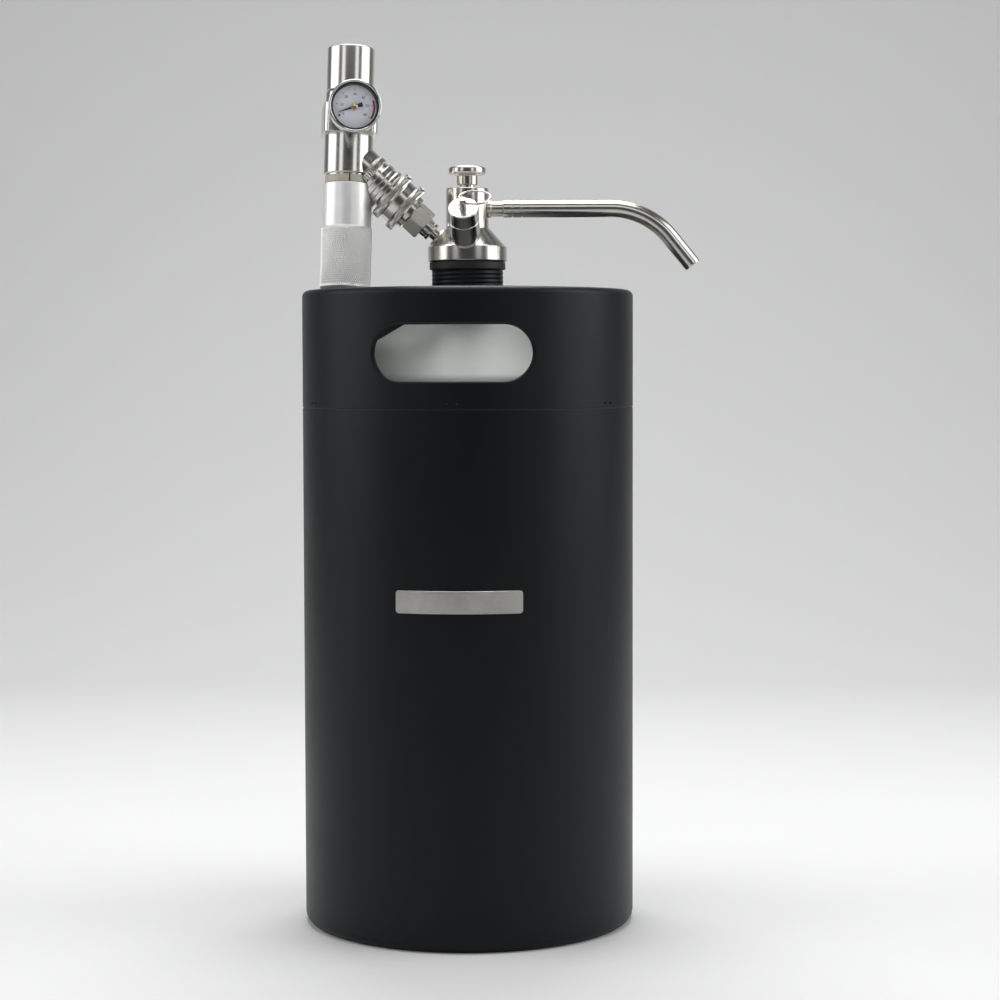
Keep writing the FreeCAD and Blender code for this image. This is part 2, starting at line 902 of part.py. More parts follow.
ring_eye = relief_place.multVec(Vector(0, 0, size("relief_eye")))
lean = math.radians(size("pull_ring_lean"))
slope = math.radians(90 - size("relief_elevation") - size("pull_ring_tilt"))
ring_back = Vector(0, math.cos(slope), math.sin(slope))
ring_line = Vector(-math.sin(lean), 0, 0) + ring_back * math.cos(lean)
ring_out = Vector(math.cos(lean), 0, 0) + ring_back * math.sin(lean)


def pull_ring():
    """The split ring through the relief valve's stem."""
    ring = doc.addObject("Part::Torus", "pull_ring_wire")
    ring.setExpression("Radius1", spread("pull_ring_radius"))
    ring.setExpression("Radius2", spread("pull_ring_wire"))
    centre = ring_eye + ring_out * size("pull_ring_radius")
    ring.Placement = along(centre, ring_out.cross(ring_line))
    doc.recompute()
    return ring


# ---- Gas post and quick disconnect -----------------------------------------------------


def post_nipple():
    """The turned stem and shoulder between the cone and the hexagon."""
    return turned(
        "post_nipple",
        [
            ("0", "post_foot"),
            ("post_stem_radius", "post_foot"),
            ("post_stem_radius", "post_stem_end"),
            ("post_radius", "post_stem_end"),
            ("post_radius", "post_hex_start"),
            ("0", "post_hex_start"),
        ],
        post_place,
    )


def post_hex():
    """The hexagon that the post is tightened by, chamfered at both ends."""
    prism = doc.addObject("Part::Prism", "post_hex_prism")
    prism.Polygon = 6
    prism.setExpression("Circumradius", spread("post_hex_flats / 2 / cos( 30 deg )"))
    prism.setExpression("Height", spread("post_hex_end - post_hex_start"))
    turn = Placement(Vector(), Rotation(Vector(0, 0, 1), 15))
    prism.Placement = slid(post_place, size("post_hex_start")).multiply(turn)
    edge = "post_hex_flats / 2 / cos( 30 deg ) + 0.05"
    envelope = turned(
        "post_hex_envelope",
        [
            ("0", "post_hex_start"),
            ("post_hex_flats / 2", "post_hex_start"),
            (edge, "post_hex_start + 0.7"),
            (edge, "post_hex_end - 0.7"),
            ("post_hex_flats / 2", "post_hex_end"),
            ("0", "post_hex_end"),
        ],
        post_place,
    )
    common = doc.addObject("Part::MultiCommon", "post_hex_common")
    common.Shapes = [prism, envelope]
    doc.recompute()
    return common


def post_plug():
    """The male plug that the disconnect locks on to, with its ball groove."""
    return turned(
        "post_plug",
        [
            ("plug_bore", "post_hex_end"),
            ("plug_radius", "post_hex_end"),
            ("plug_radius", "ball_station - 1.6"),
            ("plug_radius - plug_groove", "ball_station - 1.2"),
            ("plug_radius - plug_groove", "ball_station + 1.2"),
            ("plug_radius", "ball_station + 1.6"),
            ("plug_radius", "plug_end - 0.6"),
            ("plug_radius - 0.6", "plug_end"),
            ("plug_bore", "plug_end"),
        ],
        post_place,
    )


BALL_COUNT = 6


def ball_spots():
    """The placement of each locking ball's radial hole, pointing outwards."""
    spots = []
    for index in range(BALL_COUNT):
        around = Rotation(Vector(0, 0, 1), 360 / BALL_COUNT * index)
        radial = around.multiply(Rotation(Vector(0, 1, 0), 90))
        station = Placement(Vector(0, 0, size("ball_station")), radial)
        spots.append(post_place.multiply(station))
    return spots


def disconnect_body():
    """The quick disconnect's body: the nose, the sleeve's carrier and the plug's socket."""
    blank = turned(
        "disconnect_blank",
        [
            ("plug_radius + running_gap", "post_hex_end + 0.3"),
            ("nose_radius", "post_hex_end + 0.3"),
            ("nose_radius", "carrier_start"),
            ("carrier_radius", "carrier_start"),
            ("carrier_radius", "carrier_end"),
            ("socket_wall_radius", "carrier_end"),
            ("socket_wall_radius", "socket_wall_end"),
            ("plug_bore", "socket_wall_end"),
            ("plug_bore", "socket_wall_end - 1.2"),
            ("plug_radius + running_gap", "socket_wall_end - 1.2"),
        ],
        post_place,
    )
    holes = []
    for index, spot in enumerate(ball_spots(), start=1):
        hole = cylinder("ball_hole_%d" % index, "ball_radius + 0.1", "7", slid(spot, 4.5))
        holes.append(hole)
    return cut("disconnect_body", blank, holes)


def locking_balls():
    """The balls that hold the disconnect on the plug."""
    balls = []
    for index, spot in enumerate(ball_spots(), start=1):
        ball = doc.addObject("Part::Sphere", "ball_%d" % index)
        ball.setExpression("Radius", spread("ball_radius"))
        centre = size("carrier_radius") - size("ball_radius") - 0.1
        ball.Placement = slid(spot, centre)
        balls.append(ball)
    group = doc.addObject("Part::Compound", "ball_group")
    group.Links = balls
    doc.recompute()
    return group


def disconnect_seal():
    """The seal at the bottom of the disconnect's socket."""
    return turned(
        "disconnect_seal",
        [
            ("plug_bore + 0.4", "plug_end + 0.2"),
            ("plug_radius", "plug_end + 0.2"),
            ("plug_radius", "socket_wall_end - 1.25"),
            ("plug_bore + 0.4", "socket_wall_end - 1.25"),
        ],
        post_place,
    )


def release_sleeve():
    """The sleeve that frees the balls: two grip flanges and a waist."""
    waist_start = "sleeve_start + sleeve_flange"
    waist_end = "sleeve_end - sleeve_flange"
    return turned(
        "release_sleeve",
        [
            ("carrier_radius + 0.08", "sleeve_start"),
            ("sleeve_flange_radius - 0.4", "sleeve_start"),
            ("sleeve_flange_radius", "sleeve_start + 0.4"),
            ("sleeve_flange_radius", waist_start),
            ("sleeve_radius", waist_start + " + 0.2"),
            ("sleeve_radius", waist_end + " + 0.5"),
            ("sleeve_flange_radius", waist_end + " + 0.7"),
            ("sleeve_flange_radius", "sleeve_end - 0.4"),
            ("sleeve_flange_radius - 0.4", "sleeve_end"),
            ("carrier_radius + 0.08", "sleeve_end"),
        ],
        post_place,
    )


# ---- Regulator -------------------------------------------------------------------------


def regulator_rooms(name):
    """What the outlet's pieces are cut by: the holder below, the barrel and the block."""
    room = "holder_length + 0.4"
    holder_room = cylinder(name + "_holder_room", "holder_room", room, regulator_place)
    barrel_start = slid(regulator_place, size("nose_low"))
    barrel_room = cylinder(name + "_barrel_room", "barrel_radius", "60", barrel_start)
    block_room = square(name + "_block_room", "block_side", "block_low", "block_top")
    return [holder_room, barrel_room, block_room]


def swivel_collar():
    """The grooved collar that turns on the disconnect's socket, fixed to the outlet."""
    blank = turned(
        "swivel_blank",
        [
            ("socket_wall_radius + running_gap", "swivel_start"),
            ("swivel_start_radius", "swivel_start"),
            ("swivel_start_radius", "swivel_groove - 0.4"),
            ("swivel_groove_radius", "swivel_groove"),
            ("swivel_groove_radius", "swivel_ring - 0.2"),
            ("swivel_ring_radius", "swivel_ring"),
            ("swivel_ring_radius", "swivel_end"),
            ("outlet_bore", "swivel_end"),
            ("outlet_bore", "socket_wall_end + 0.3"),
            ("socket_wall_radius + running_gap", "socket_wall_end + 0.3"),
        ],
        post_place,
    )
    return cut("swivel_collar", blank, regulator_rooms("swivel"))


def regulator_outlet():
    """The ribbed ring and the boss between the swivel collar and the regulator."""
    blank = turned(
        "outlet_blank",
        [
            ("outlet_bore", "swivel_end"),
            ("outlet_radius", "swivel_end"),
            ("outlet_radius", "outlet_rib - 0.1"),
            ("outlet_rib_radius", "outlet_rib"),
            ("outlet_rib_radius", "outlet_rib_end"),
            ("outlet_radius - 0.1", "outlet_rib_end + 0.1"),
            ("outlet_radius - 0.1", "outlet_step"),
            ("outlet_radius + 0.5", "outlet_step + 0.1"),
            ("outlet_radius + 0.5", "regulator_meet"),
            ("outlet_bore", "regulator_meet"),
        ],
        post_place,
    )
    return cut("regulator_outlet", blank, regulator_rooms("outlet"))


def square(name, side, low, top):
    """A square bar centred on the regulator's axis, between two levels."""
    bar = doc.addObject("Part::Box", name)
    bar.setExpression("Length", spread(side))
    bar.setExpression("Width", spread(side))
    bar.setExpression("Height", spread(top + " - " + low))
    half = amount(spread(side)) / 2
    corner = Placement(Vector(-half, -half, amount(spread(low))), Rotation())
    bar.Placement = regulator_place.multiply(corner)
    return bar


def regulator_body():
    """The square block between a round barrel and bonnet, and the nose for the holder."""
    bar = square("block_bar", "block_side", "block_low", "block_top")
    doc.recompute()
    upright = []
    for index, edge in enumerate(bar.Shape.Edges, start=1):
        if abs(edge.tangentAt(edge.FirstParameter).dot(regulator_up)) > 0.99:
            upright.append((index, size("block_round"), size("block_round")))
    soft = doc.addObject("Part::Fillet", "block_soft")
    soft.Base = bar
    soft.Edges = upright
    barrel = turned(
        "regulator_barrel",
        [
            ("0", "nose_low"),
            ("nose_thread", "nose_low"),
            ("nose_thread", "body_low - 0.7"),
            ("nose_thread + 1.2", "body_low - 0.7"),
            ("nose_thread + 1.2", "body_low"),
            ("barrel_radius", "body_low + 0.4"),
            ("barrel_radius", "block_low"),
            ("0", "block_low"),
        ],
        regulator_place,
    )
    bonnet_place = slid(regulator_place, size("block_top"))
    bonnet = cylinder("bonnet", "bonnet_radius", "bonnet_top - block_top", bonnet_place)
    blank = fuse("regulator_blank", [soft, barrel, bonnet])
    rooms = turned(
        "cartridge_room",
        [
            ("0", "nose_low - 1"),
            ("cartridge_room", "nose_low - 1"),
            ("cartridge_room", "body_low - 1.9"),
            ("cartridge_neck_room", "body_low - 0.9"),
            ("cartridge_neck_room", "pin_end"),
            ("0", "pin_end"),
        ],
        regulator_place,
    )
    spring_room = turned(
        "spring_room",
        [
            ("0", "block_low + 2"),
            ("spring_room", "block_low + 2"),
            ("spring_room", "bonnet_top + 1"),
            ("0", "bonnet_top + 1"),
        ],
        regulator_place,
    )
    gauge_hole = cylinder("gauge_hole", "4", "14", slid(gauge_place, 8))
    return cut("regulator_body", blank, [rooms, spring_room, gauge_hole])


def pierce_pin():
    """The hollow needle that opens the cartridge."""
    return turned(
        "pierce_pin",
        [
            ("0", "pin_tip"),
            ("0.9", "pin_tip + 1"),
            ("0.9", "pin_plate"),
            ("cartridge_neck_room - 0.1", "pin_plate"),
            ("cartridge_neck_room - 0.1", "pin_end"),
            ("0", "pin_end"),
        ],
        regulator_place,
    )


def split_ring():
    """The plastic spacer ring under the regulator's barrel, open at the front."""
    ring = turned(
        "split_ring_blank",
        [
            ("nose_thread + thread_gap", "split_ring_start"),
            ("split_ring_radius", "split_ring_start"),
            ("split_ring_radius", "split_ring_end"),
            ("nose_thread + thread_gap", "split_ring_end"),
        ],
        regulator_place,
    )
    slit = doc.addObject("Part::Box", "ring_slit")
    slit.Length = 1
    slit.Width = 8
    slit.Height = 6
    spot = Placement(Vector(-0.5, -16, size("split_ring_start") - 1), Rotation())
    slit.Placement = regulator_place.multiply(spot)
    return cut("split_ring", ring, [slit])


def diaphragm():
    """The disc that the range spring presses on."""
    return turned(
        "diaphragm",
        [
            ("0", "block_low + 2"),
            ("spring_room - 0.1", "block_low + 2"),
            ("spring_room - 0.1", "block_low + 3"),
            ("0", "block_low + 3"),
        ],
        regulator_place,
    )


def range_spring():
    """The spring between the diaphragm and the plate under the knob's screw."""
    low = size("block_low") + 3.7
    high = size("bonnet_top") - 4.7
    radius = "range_spring_radius"
    return coil("range_spring", radius, "spring_wire", low, high, 7, regulator_place)


def spring_plate():
    """The plate that the knob's screw drives down on to the spring."""
    return turned(
        "spring_plate",
        [
            ("screw_radius + 0.1", "bonnet_top - 4"),
            ("spring_room - 0.2", "bonnet_top - 4"),
            ("spring_room - 0.2", "bonnet_top - 2"),
            ("screw_radius + 0.1", "bonnet_top - 2"),
        ],
        regulator_place,
    )


def knob():
    """The pressure knob, with its screw below."""
    body = turned(
        "adjust_knob",
        [
            ("0", "bonnet_top - 8"),
            ("screw_radius", "bonnet_top - 8"),
            ("screw_radius", "knob_low"),
            ("knob_radius", "knob_low"),
            ("knob_radius", "knob_top"),
            ("0", "knob_top"),
        ],
        regulator_place,
    )
    return rounded(body, "knob_edge", ("knob_radius", "knob_top"), "0.8")


def cartridge():
    """The small gas cartridge: a hollow steel bottle with a pierced cap."""
    return turned(
        "gas_cartridge",
        [
            ("0", "cartridge_foot"),
            ("cartridge_radius - 4", "cartridge_foot"),
            ("cartridge_radius", "cartridge_foot + 4"),
            ("cartridge_radius", "cartridge_shoulder"),
            ("cartridge_radius - 1", "cartridge_shoulder + 3.5"),
            ("cartridge_neck", "cartridge_neck_start"),
            ("cartridge_neck", "cartridge_top"),
            ("cartridge_neck - 3.1", "cartridge_top"),
            ("cartridge_neck - 3.1", "cartridge_top - 3.2"),
            ("cartridge_neck - 1.2", "cartridge_top - 3.2"),
            ("cartridge_neck - 1.2", "cartridge_neck_start - 0.5"),
            ("cartridge_radius - 2", "cartridge_shoulder + 2.5"),
            ("cartridge_radius - 1.2", "cartridge_shoulder - 0.5"),
            ("cartridge_radius - 1.2", "cartridge_foot + 4.8"),
            ("0", "cartridge_foot + 1.8"),
        ],
        regulator_place,
    )


def holder():
    """The cartridge holder: a smooth upper part, a grip below and a closed foot."""
    body = turned(
        "cartridge_holder",
        [
            ("0", "0"),
            ("holder_grip_radius", "0"),
            ("holder_grip_radius", "holder_grip_end - 0.45"),
            ("holder_radius", "holder_grip_end"),
            ("holder_radius", "holder_length"),
            ("nose_thread + thread_gap", "holder_length"),
            ("nose_thread + thread_gap", "nose_low - 1.5"),
            ("cartridge_room + thread_gap", "nose_low - 1.5"),
            ("cartridge_room + thread_gap", "holder_wall_floor + 3"),
            ("cartridge_radius - 4", "holder_wall_floor"),
            ("0", "holder_wall_floor"),
        ],
        regulator_place,
    )
    return rounded(body, "holder_foot", ("holder_grip_radius", "0"), "1.2")


# ---- Gauge, along its own axis towards the viewer ----------------------------------------


def gauge_stem():
    """The threaded stem that carries the gauge."""
    return turned(
        "gauge_stem",
        [
            ("1", "block_side / 2 - 4"),
            ("gauge_stem_radius", "block_side / 2 - 4"),
            ("gauge_stem_radius", "block_side / 2"),
            ("gauge_nut_radius", "block_side / 2 + 0.05"),
            ("gauge_nut_radius", "gauge_stem_end"),
            ("1", "gauge_stem_end"),
        ],
        gauge_place,
    )


def gauge_case():
    """The gauge's cup-shaped case."""
    body = turned(
        "gauge_case",
        [
            ("0", "gauge_stem_end"),
            ("gauge_radius - 0.9", "gauge_stem_end"),
            ("gauge_radius - 0.9", "gauge_face - 4.2"),
            ("dial_radius + 0.1", "gauge_face - 4.2"),
            ("dial_radius + 0.1", "gauge_stem_end + 1.2"),
            ("0", "gauge_stem_end + 1.2"),
        ],
        gauge_place,
    )
    return rounded(body, "case_back", ("gauge_radius - 0.9", "gauge_stem_end"), "1.5")


def gauge_bezel():
    """The rolled ring that holds the gauge's window."""
    body = turned(
        "gauge_bezel",
        [
            ("dial_radius + 0.1", "gauge_face - 4.2"),
            ("gauge_radius", "gauge_face - 4.2"),
            ("gauge_radius", "gauge_face"),
            ("dial_radius - 0.4", "gauge_face"),
            ("dial_radius - 0.4", "gauge_face - 0.8"),
            ("dial_radius + 0.1", "gauge_face - 0.8"),
        ],
        gauge_place,
    )
    return rounded(body, "bezel_edge", ("gauge_radius", "gauge_face"), "1.6")


def gauge_dial():
    """The dial plate."""
    return turned(
        "gauge_dial",
        [
            ("0.6", "gauge_face - dial_drop - 0.6"),
            ("dial_radius", "gauge_face - dial_drop - 0.6"),
            ("dial_radius", "gauge_face - dial_drop"),
            ("0.6", "gauge_face - dial_drop"),
        ],
        gauge_place,
    )


def gauge_lens():
    """The gauge's window."""
    return turned(
        "gauge_lens",
        [
            ("0", "gauge_face - lens_drop - 1.05"),
            ("dial_radius", "gauge_face - lens_drop - 1.05"),
            ("dial_radius", "gauge_face - lens_drop"),
            ("0", "gauge_face - lens_drop"),
        ],
        gauge_place,
    )


NEEDLE_REST = 200.0  # degrees from the dial's right, anticlockwise


def gauge_needle():
    """The pointer with its hub and tail."""
    hub = cylinder("needle_hub", "1.5", "0.9", slid(gauge_place, size("gauge_face") - 3.8))
    pin = cylinder("needle_pin", "0.5", "1.6", slid(gauge_place, size("gauge_face") - 4.9))
    blade = doc.addObject("Part::Box", "needle_blade")
    blade.Length = 12.6
    blade.Width = 0.7
    blade.Height = 0.3
    turn = Placement(Vector(0, 0, size("gauge_face") - 3.6), Rotation(Vector(0, 0, 1), NEEDLE_REST))
    start = Placement(Vector(-3.6, -0.35, 0), Rotation())
    blade.Placement = gauge_place.multiply(turn).multiply(start)
    return fuse("needle", [hub, pin, blade])


# ---- The assembly ----------------------------------------------------------------------

MAKERS = {
    "outer_shell": outer_shell,
    "base_plate": base_plate,
    "inner_vessel": inner_vessel,
    "shoulder": shoulder,
    "neck": neck,
    "neck_skirt": neck_skirt,
    "handle_collar": handle_collar,
    "badge_plate": badge_plate,
    "tap_seal": tap_seal,
    "tap_base": tap_base,
    "tap_body": tap_body,
    "dip_tube": dip_tube,
    "valve_plunger": valve_plunger,
    "valve_washer": valve_washer,
    "valve_spring": valve_spring,
    "button_cap": button_cap,
    "spout_socket": spout_socket,
    "spout_collar": spout_collar,
    "spout_tube": spout_tube,
    "relief_body": relief_body,
    "relief_cap": relief_cap,
    "relief_stem": relief_stem,
    "relief_spring": relief_spring,
    "pull_ring": pull_ring,
    "post_nipple": post_nipple,
    "post_hex": post_hex,
    "post_plug": post_plug,
    "disconnect_body": disconnect_body,
    "locking_balls": locking_balls,
    "disconnect_seal": disconnect_seal,
    "release_sleeve": release_sleeve,
    "swivel_collar": swivel_collar,
    "regulator_outlet": regulator_outlet,
    "regulator_body": regulator_body,
    "pierce_pin": pierce_pin,
    "split_ring": split_ring,
    "diaphragm": diaphragm,
    "range_spring": range_spring,
    "spring_plate": spring_plate,
    "adjust_knob": knob,
    "gas_cartridge": cartridge,
    "cartridge_holder": holder,
    "gauge_stem": gauge_stem,
    "gauge_case": gauge_case,
    "gauge_bezel": gauge_bezel,
    "gauge_dial": gauge_dial,
    "gauge_lens": gauge_lens,
    "gauge_needle": gauge_needle,
}

for node_name, make in MAKERS.items():
    keep(node_name, make())
doc.recompute()

faults = []
for item in doc.Objects:
    if "Invalid" in item.State or "Error" in item.State:
        faults.append("%s is %s" % (item.Name, item.State))
for node_name, piece in nodes.items():
    if piece.Shape.isNull() or not piece.Shape.isValid() or piece.Shape.Volume <= 0:
        faults.append("%s has no valid shape" % node_name)
if faults:
    raise SystemExit("\n".join(faults))

os.makedirs("parts", exist_ok=True)
for node_name, piece in nodes.items():
    piece.Shape.exportStep("parts/%s.step" % node_name)
print("%d parts written" % len(nodes))
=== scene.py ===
"""The looks of a five litre mini keg with a tap head and a gas regulator.

Most pieces are turned about one of a few axes, so each is an outline of (radius, height,
corner rounding) in millimetres, in the frame of the joint that it moves on.
"""

import json
import math

import bmesh
import bpy
from mathutils import Matrix, Vector


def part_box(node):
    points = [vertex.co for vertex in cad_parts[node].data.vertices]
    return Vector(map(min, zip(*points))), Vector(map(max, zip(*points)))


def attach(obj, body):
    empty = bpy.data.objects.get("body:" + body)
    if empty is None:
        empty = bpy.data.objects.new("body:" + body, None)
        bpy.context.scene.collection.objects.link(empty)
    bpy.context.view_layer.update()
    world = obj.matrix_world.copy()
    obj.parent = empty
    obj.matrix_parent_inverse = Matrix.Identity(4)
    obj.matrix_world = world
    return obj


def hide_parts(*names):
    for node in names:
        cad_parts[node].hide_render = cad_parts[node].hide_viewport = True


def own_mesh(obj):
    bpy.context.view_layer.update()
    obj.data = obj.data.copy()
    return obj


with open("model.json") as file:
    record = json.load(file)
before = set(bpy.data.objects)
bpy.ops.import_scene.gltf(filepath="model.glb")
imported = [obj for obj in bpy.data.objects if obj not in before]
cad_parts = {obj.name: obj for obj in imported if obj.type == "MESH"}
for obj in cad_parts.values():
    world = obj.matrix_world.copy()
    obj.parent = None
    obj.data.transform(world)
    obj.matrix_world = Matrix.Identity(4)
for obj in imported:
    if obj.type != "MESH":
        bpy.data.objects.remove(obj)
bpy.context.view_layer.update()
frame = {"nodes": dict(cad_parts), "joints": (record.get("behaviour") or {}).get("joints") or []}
MM = 0.001
TAU = 2 * math.pi
SAME_POINT = 2e-6
SLIVER = 1e-6
ON_AXIS = 1e-6
MOST_OF_HALF = 0.49
SHARPEST = math.radians(2)
FLATTEST = math.radians(88)
CREASE = math.radians(32)

# ---- Frames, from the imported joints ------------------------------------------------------

JOINTS = {joint["name"]: joint for joint in frame["joints"]}


def joint_axis(name):
    return Vector(JOINTS[name]["axis"]).normalized()


def joint_spot(name):
    return Vector(JOINTS[name]["pos_m"])


def millimetre_frame(origin, x_axis, y_axis, z_axis):
    """A matrix from local millimetres to the part's metres."""
    turn = Matrix((x_axis, y_axis, z_axis)).transposed().to_4x4()
    return Matrix.Translation(origin) @ turn @ Matrix.Scale(MM, 4)


def axis_frame(origin, direction):
    """A frame whose Z axis lies along the direction, by the smallest turn from upright."""
    turn = Vector((0, 0, 1)).rotation_difference(direction).to_matrix().to_4x4()
    return Matrix.Translation(origin) @ turn @ Matrix.Scale(MM, 4)


REGULATOR_MEET = 85.0
RELIEF_EYE = 46.0
GAUGE_LEVEL = 91.3
SPOUT_LEVEL = 378.1
LIFT = 4.0

WORLD_MM = Matrix.Scale(MM, 4)
HEAD_MM = WORLD_MM @ Matrix.Translation((0, 0, LIFT))
post_axis = joint_axis("disconnect_pull")
POST = axis_frame(joint_spot("regulator_swivel") - post_axis * REGULATOR_MEET * MM, post_axis)
relief_axis = joint_axis("relief_pull")
RELIEF = axis_frame(joint_spot("ring_swing") - relief_axis * RELIEF_EYE * MM, relief_axis)
SPOUT = axis_frame(Vector((0, 0, SPOUT_LEVEL * MM)), Vector((1, 0, 0)))
regulator_up = -joint_axis("knob_turn")
gauge_out = -joint_axis("needle_sweep")
regulator_right = regulator_up.cross(gauge_out).normalized()
REGULATOR = millimetre_frame(
    joint_spot("holder_unscrew"), regulator_right, -gauge_out, regulator_up
)
GAUGE = millimetre_frame(
    joint_spot("holder_unscrew") + regulator_up * GAUGE_LEVEL * MM,
    regulator_right,
    regulator_up,
    gauge_out,
)

# ---- Mesh makers -------------------------------------------------------------------------


def linked(name, data):
    made = bpy.data.objects.new(name, data)
    bpy.context.collection.objects.link(made)
    return made


def clean(mesh):
    """Joins doubled points, drops slivers and turns the normals outwards."""
    work = bmesh.new()
    work.from_mesh(mesh)
    bmesh.ops.remove_doubles(work, verts=work.verts, dist=SAME_POINT)
    bmesh.ops.dissolve_degenerate(work, edges=work.edges, dist=SLIVER)
    bmesh.ops.recalc_face_normals(work, faces=work.faces)
    work.to_mesh(mesh)
    work.free()


def shade(piece, material):
    """Smooth faces with crisp edges, in one material."""
    piece.data.shade_smooth()
    piece.data.set_sharp_from_angle(angle=CREASE)
    piece.data.materials.clear()
    piece.data.materials.append(material)
    weigh = piece.modifiers.new("weigh_normals", "WEIGHTED_NORMAL")
    weigh.keep_sharp = True


def dress(piece, body, finish, replaces=()):
    """Gives a ready mesh its normals, its material and its ties to the CAD model."""
    material, slot = finish
    clean(piece.data)
    shade(piece, material)
    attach(piece, body)
    if replaces:
        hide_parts(*replaces)
    return piece


def finish_mesh(name, vertices, faces, place, body, finish, replaces=(), wraps=None):
    """Makes a piece from its points in the local frame."""
    mesh = bpy.data.meshes.new(name)
    mesh.from_pydata(vertices, [], faces)
    if wraps:
        layer = mesh.uv_layers.new(name="turned")
        for loop in mesh.loops:
            layer.data[loop.index].uv = wraps[loop.vertex_index]
    mesh.transform(place)
    return dress(linked(name, mesh), body, finish, replaces)


def blank(name, vertices, faces, place=Matrix.Identity(4)):
    """A plain closed mesh with outward normals, to cut or to be cut."""
    mesh = bpy.data.meshes.new(name)
    mesh.from_pydata(vertices, [], faces)
    mesh.transform(place)
    work = bmesh.new()
    work.from_mesh(mesh)
    bmesh.ops.recalc_face_normals(work, faces=work.faces)
    work.to_mesh(mesh)
    work.free()
    return linked(name, mesh)


def band(low, high):
    """Faces between two closed loops with as many points each."""
    faces = []
    for index in range(len(low)):
        after = (index + 1) % len(low)
        faces.append((low[index], low[after], high[after], high[index]))
    return faces


def soften(outline, closed, steps=4):
    """Replaces each corner that has a rounding by an arc; keeps what each ring carries."""
    made = []
    count = len(outline)
    for index, item in enumerate(outline):
        if item[0] == "knurl":
            made.append(item)
            continue
        radius, height, rounding = item[:3]
        extra = item[3:]
        ends = not closed and index in (0, count - 1)
        if rounding <= 0 or ends:
            made.append((radius, height) + extra)
            continue
        here = Vector((radius, height))
        before = neighbour(outline, index, -1) - here
        after = neighbour(outline, index, 1) - here
        reach = min(before.length, after.length) * MOST_OF_HALF
        before.normalize()
        after.normalize()
        half = before.angle(after) / 2
        if not SHARPEST < half < FLATTEST:
            made.append((radius, height) + extra)
            continue
        cut = min(rounding / math.tan(half), reach)
        arc = cut * math.tan(half)
        centre = here + (before + after).normalized() * (arc / math.sin(half))
        start = here + before * cut - centre
        end = here + after * cut - centre
        sweep = start.angle_signed(end)
        for step in range(steps + 1):
            turn = Matrix.Rotation(-sweep * step / steps, 2)
            spot = centre + turn @ start
            made.append((spot.x, spot.y) + extra)
    return made


def neighbour(outline, index, step):
    """The next plain corner before or after one, past any knurled band."""
    count = len(outline)
    index = (index + step) % count
    while outline[index][0] == "knurl":
        index = (index + step) % count
    return Vector(outline[index][:2])


class Turning:
    """Collects the rings of a turned piece."""

    def __init__(self, segments):
        self.segments = segments
        self.vertices = []
        self.faces = []
        self.wraps = []
        self.travel = 0.0
        self.last = None

    def ring(self, radius, height, shape=None, half_step=0.0):
        if self.last is not None:
            self.travel += (Vector((radius, height)) - self.last).length
        self.last = Vector((radius, height))
        if radius < ON_AXIS:
            self.vertices.append((0, 0, height))
            self.wraps.append((0, self.travel))
            return [len(self.vertices) - 1]
        made = []
        for index in range(self.segments):
            angle = TAU * (index + half_step) / self.segments
            reach = shape(angle, radius, height) if shape else radius
            self.vertices.append((reach * math.cos(angle), reach * math.sin(angle), height))
            self.wraps.append((index / self.segments, self.travel))
            made.append(len(self.vertices) - 1)
        return made

    def bridge(self, low, high):
        """Faces between two rings, of which one may be a point on the axis."""
        if len(low) > 1 and len(high) > 1:
            self.faces += band(low, high)
            return
        for index in range(self.segments if len(low) != len(high) else 0):
            after = (index + 1) % self.segments
            if len(low) == 1:
                self.faces.append((low[0], high[after], high[index]))
            else:
                self.faces.append((low[index], low[after], high[0]))

    def knurl(self, low, radius, from_height, to_height, rows, depth):
        """A band of flat-topped diamonds between two heights; rows is even."""
        count = self.segments
        grooves = [low]
        rise = (to_height - from_height) / rows
        for row in range(1, rows + 1):
            shift = 0.5 * (row % 2)
            height = from_height + rise * row
            deep = depth if row < rows else 0
            grooves.append(self.ring(radius - deep, height, None, shift))
        for row in range(rows - 1):
            middle = row + 1
            for index in range(count):
                near = grooves[row][index]
                far = grooves[row + 2][index]
                if row % 2 == 0:
                    left = grooves[middle][(index - 1) % count]
                    right = grooves[middle][index]
                    angle = TAU * index / count
                else:
                    left = grooves[middle][index]
                    right = grooves[middle][(index + 1) % count]
                    angle = TAU * (index + 0.5) / count
                level = from_height + rise * middle
                self.diamond((near, right, far, left), angle, radius, level, rise)
        for index in range(count):
            after = (index + 1) % count
            self.faces.append((grooves[0][index], grooves[0][after], grooves[1][index]))
            last, end = grooves[rows - 1], grooves[rows]
            self.faces.append((end[index], last[index], end[after]))
        return grooves[rows]

    def diamond(self, corners, angle, radius, height, rise):
        """Four flanks that rise from the groove's corners to a flat top."""
        top = 0.34
        half_turn = TAU / self.segments / 2 * top
        tips = []
        for turn, lift in ((0, -top), (half_turn, 0), (0, top), (-half_turn, 0)):
            around = angle + turn
            self.vertices.append(
                (radius * math.cos(around), radius * math.sin(around), height + rise * lift)
            )
            self.wraps.append((around / TAU, self.travel))
            tips.append(len(self.vertices) - 1)
        self.faces += band(corners, tips)
        self.faces.append(tuple(tips))


